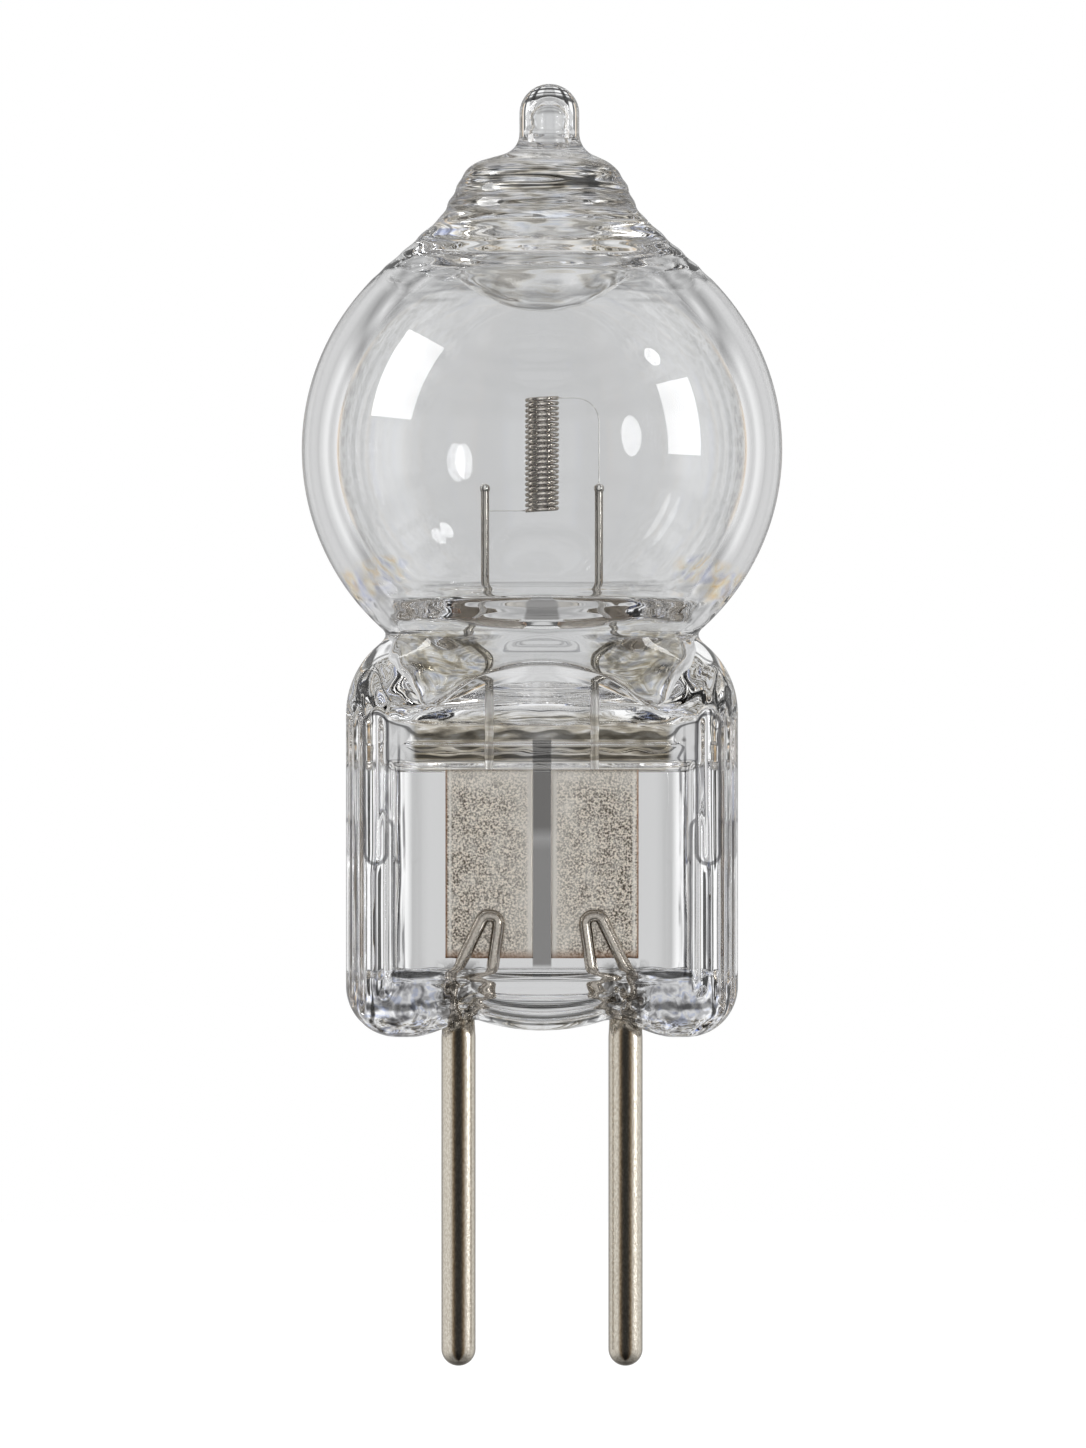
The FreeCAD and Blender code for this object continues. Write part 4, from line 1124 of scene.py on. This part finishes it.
def lead_wire():
    """Drawn wire, matt where it is sunk in the glass, with painted light: it is coloured pale there, and its
    melted bead gets a painted highlight.
    """
    shader, colour = metal("lead_wire", (0.38, 0.36, 0.33), (0.46, 0.44, 0.40), (0.1, 0.16), 0.1, (1, 1, 6))
    up = shader.share(shader.height, lead_low[2], lead_high[2])
    wetted = (THROAT_SPAN[0] + WETTED_RISE - lead_low[2]) / (lead_high[2] - lead_low[2])
    dry = wetted + WETTED_FADE
    # Painted light: pale over the sunk stretch, and a painted highlight on the bead at the top
    bright = shader.ramp(up, (0.0, 1), (wetted, 1), (dry, 0), (0.97, 0), (1.0, 1))
    matt = shader.ramp(up, (0.0, 0.6), (wetted, 0.6), (dry, 0.13))
    shader.set(Base_Color=shader.mix(bright, colour, LEAD_PAINTED_LIGHT), Roughness=matt)
    return shader.material


def foil():
    """Matt speckled foil, worn bright in spots, with painted highlights along its edges and near its top, and
    rust at its outer edge and ends.
    """
    shader, colour = metal("foil", (0.10, 0.08, 0.06), (0.96, 0.88, 0.77), (0.28, 0.4), 0.075, depth=0.003)
    across = shader.share(shader.reach, FOIL_X - FOIL_HALF_WIDTH, FOIL_X + FOIL_HALF_WIDTH)
    up = shader.share(shader.height, foil_low[2], foil_high[2])
    worn = shader.ramp(shader.noise(0.7), (0.45, 0), (0.7, 0.4))
    # Painted highlights: bright bands along the inner and outer edges, and the crest near the top
    edges = shader.ramp(
        across, (0.0, 1), (0.045, 1), (0.08, 0.35), (0.35, 0.1), (0.8, 0), (0.92, 0), (0.95, 0.8), (0.97, 0))
    painted_crest_highlight = shader.ramp(up, (0.82, 0), (0.93, 0.45), (0.98, 0.2), (1.0, 0))
    rust = shader.ramp(across, (0.972, 0), (0.99, 0.8))
    ends = shader.ramp(up, (0.0, 0.8), (0.05, 0), (0.975, 0), (1.0, 0.8))
    for share in (worn, edges, painted_crest_highlight):
        colour = shader.mix(share, colour, FOIL_WEAR_AND_HIGHLIGHT)
    for share in (rust, ends):
        colour = shader.mix(share, colour, FOIL_RUST)
    shader.set(Base_Color=colour)
    return shader.material


def hairpin_wire():
    """Polished wire."""
    shader, _ = metal("hairpin_wire", (0.46, 0.42, 0.37), (0.62, 0.58, 0.52), (0.08, 0.14), 0.08)
    return shader.material


def pin_metal():
    """Satin nickel with a fine grain along the pin."""
    shader, _ = metal("pin_metal", (0.57, 0.52, 0.44), (0.72, 0.67, 0.58), (0.16, 0.24), 0.06, (1, 1, 2))
    return shader.material


def dress(piece, material, slot, *nodes):
    """Give a piece its material, seat it on the lamp and let it stand for its solids."""
    piece.data.materials.append(material)
    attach(piece, ROOT)
    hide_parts(*nodes)


def make_lamp():
    """Make all the pieces of the lamp."""
    dress(make_envelope(), quartz(), "quartz", "quartz_envelope")
    dress(make_filament(), tungsten(), "tungsten", "filament_coil")
    wire, leaf, bent, nickel = lead_wire(), foil(), hairpin_wire(), pin_metal()
    for side, name in SIDE_NAMES.items():
        dress(make_lead(side), wire, "lead_wire", f"inner_lead_{name}")
        dress(make_foil(side), leaf, "foil", f"seal_foil_{name}")
        dress(make_hairpin(side), bent, "hairpin_wire", f"hairpin_{name}")
        dress(make_pin(side), nickel, "pin_metal", f"contact_pin_{name}")


def make_floor():
    """A plain pale floor below the lamp."""
    half = FLOOR_HALF_WIDTH * MM
    height = (pin_low[2] - FLOOR_DROP) * MM
    mesh = bpy.data.meshes.new("floor")
    corners = [(-half, -half, height), (half, -half, height), (half, half, height), (-half, half, height)]
    mesh.from_pydata(corners, [], [(0, 1, 2, 3)])
    floor = new_object("floor", mesh)
    shader = Shader("floor_paint")
    seen = shader.add("ShaderNodeLightPath").outputs["Is Camera Ray"]
    shader.set(Base_Color=FLOOR_GREY, Roughness=0.9, Emission_Color=FLOOR_GLOW, Emission_Strength=seen)
    mesh.materials.append(shader.material)
    floor.visible_glossy = False
    floor.visible_transmission = False


def make_softbox(name, direction, size, light, seen_in):
    """A soft lamp that shines at the ball, and shows in metal and skin or else through the glass."""
    data = bpy.data.lights.new(name, "AREA")
    data.shape = "RECTANGLE" if seen_in == "skin" else "ELLIPSE"
    data.size, data.size_y = size
    data.energy = light * math.pi * size[0] * size[1]
    lamp = new_object(name, data)
    out = Vector(direction).normalized()
    lamp.location = Vector((0, 0, BALL_CENTRE * MM)) + out * SOFTBOX_DISTANCE
    lamp.rotation_euler = out.to_track_quat("Z", "Y").to_euler()
    lamp.visible_camera = False
    lamp.visible_glossy = seen_in == "skin"
    lamp.visible_transmission = seen_in == "depth"


def make_lights():
    """Two large soft lamps that the glass mirrors, and three small ones seen in its back wall."""
    for softbox in SOFTBOXES:
        make_softbox(*softbox)


class Studio(Nodes):
    """The world's nodes, by how far round from the back and how high a ray leaves the lamp."""

    def __init__(self):
        world = bpy.data.worlds.new("studio")
        bpy.context.scene.world = world
        super().__init__(world)
        self.way = self.add("ShaderNodeTexCoord").outputs["Generated"]
        x, y, z = self.add("ShaderNodeSeparateXYZ", Vector=self.way).outputs
        self.turn = self.math("DIVIDE", self.math("ABSOLUTE", self.math("ARCTAN2", x, y)), math.pi)
        self.rise = self.math("ADD", self.math("DIVIDE", self.math("ARCSINE", z), math.pi), 0.5)
        self.rays = self.add("ShaderNodeLightPath").outputs

    def round_stops(self, walls):
        """Give the colour of walls by how many degrees they stand round from the back."""
        return self.ramp(self.turn, *[(angle / 180, colour) for angle, colour in walls])

    def rise_stops(self, levels):
        """Give the colour of levels by their degrees above the horizon."""
        return self.ramp(self.rise, *[(angle / 180 + 0.5, colour) for angle, colour in levels])

    def room(self, walls, levels):
        """Give walls that are dimmed by their levels."""
        return self.mix(1.0, self.round_stops(walls), self.rise_stops(levels), kind="MULTIPLY")

    def crossed(self, counts):
        """Give 1 for a ray that has crossed glass, and turned in all, as many times as counts say."""
        crossings = self.math("COMPARE", self.rays["Transmission Depth"], counts[0], 0.5)
        turns = self.math("COMPARE", self.rays["Ray Depth"], counts[1], 0.5)
        return self.product(crossings, turns)


def solid_room(studio):
    """What shows through solid glass: lit and dark walls, broken into shards in places."""
    grain = studio.add("ShaderNodeTexNoise", Vector=studio.way, Scale=SHARD_SCALE)
    shards = studio.ramp(grain.outputs["Fac"], *SHARDS)
    raised = studio.product(studio.rise_stops(SHARDS_RISE), studio.round_stops(SHARDS_RISE_REACH))
    broken = studio.math("MAXIMUM", studio.round_stops(SHARDS_ROUND), raised)
    return studio.mix(broken, studio.room(SOLID_WALLS, SOLID_LEVELS), shards)


def glass_room(studio):
    """What shows through glass: soft walls through the ball, and sharp ones through the solid pinch."""
    in_wall = studio.product(studio.crossed(WALL_CROSSINGS), studio.round_stops(WALL_REACH))
    through_ball = studio.math("MAXIMUM", studio.crossed(BALL_CROSSINGS), in_wall)
    seen = studio.mix(through_ball, solid_room(studio), studio.room(CLEAR_WALLS, CLEAR_LEVELS))
    on_coil = studio.product(studio.crossed(COIL_CROSSINGS), studio.round_stops(COIL_REACH))
    return studio.mix(on_coil, seen, studio.room(COIL_WALLS, COIL_LEVELS))


def make_world():
    """A pale studio all round the lamp, with darker strips between its lit walls."""
    studio = Studio()
    seen = studio.mix(studio.rays["Is Glossy Ray"], WHITE, studio.room(METAL_WALLS, METAL_LEVELS))
    seen = studio.mix(studio.rays["Is Transmission Ray"], seen, glass_room(studio))
    seen = studio.mix(studio.rays["Is Camera Ray"], seen, WHITE)
    studio.feed(studio.nodes["Background"].inputs["Color"], seen)


def make_camera():
    """A long lens that looks square at the front of the lamp."""
    data = bpy.data.cameras.new("camera")
    data.sensor_width = SENSOR_WIDTH
    data.lens = SENSOR_WIDTH * CAMERA_DISTANCE / VIEW_HEIGHT
    camera = new_object("camera", data)
    camera.location = (VIEW_CENTRE[0] * MM, -CAMERA_DISTANCE * MM, VIEW_CENTRE[1] * MM)
    camera.rotation_euler = (math.pi / 2, 0, 0)
    bpy.context.scene.camera = camera


make_lamp()
make_floor()
make_lights()
make_world()
make_camera()
scene = bpy.context.scene
scene.view_settings.view_transform = "Standard"
scene.cycles.max_bounces = 32
scene.cycles.transmission_bounces = 24
scene.cycles.glossy_bounces = 12
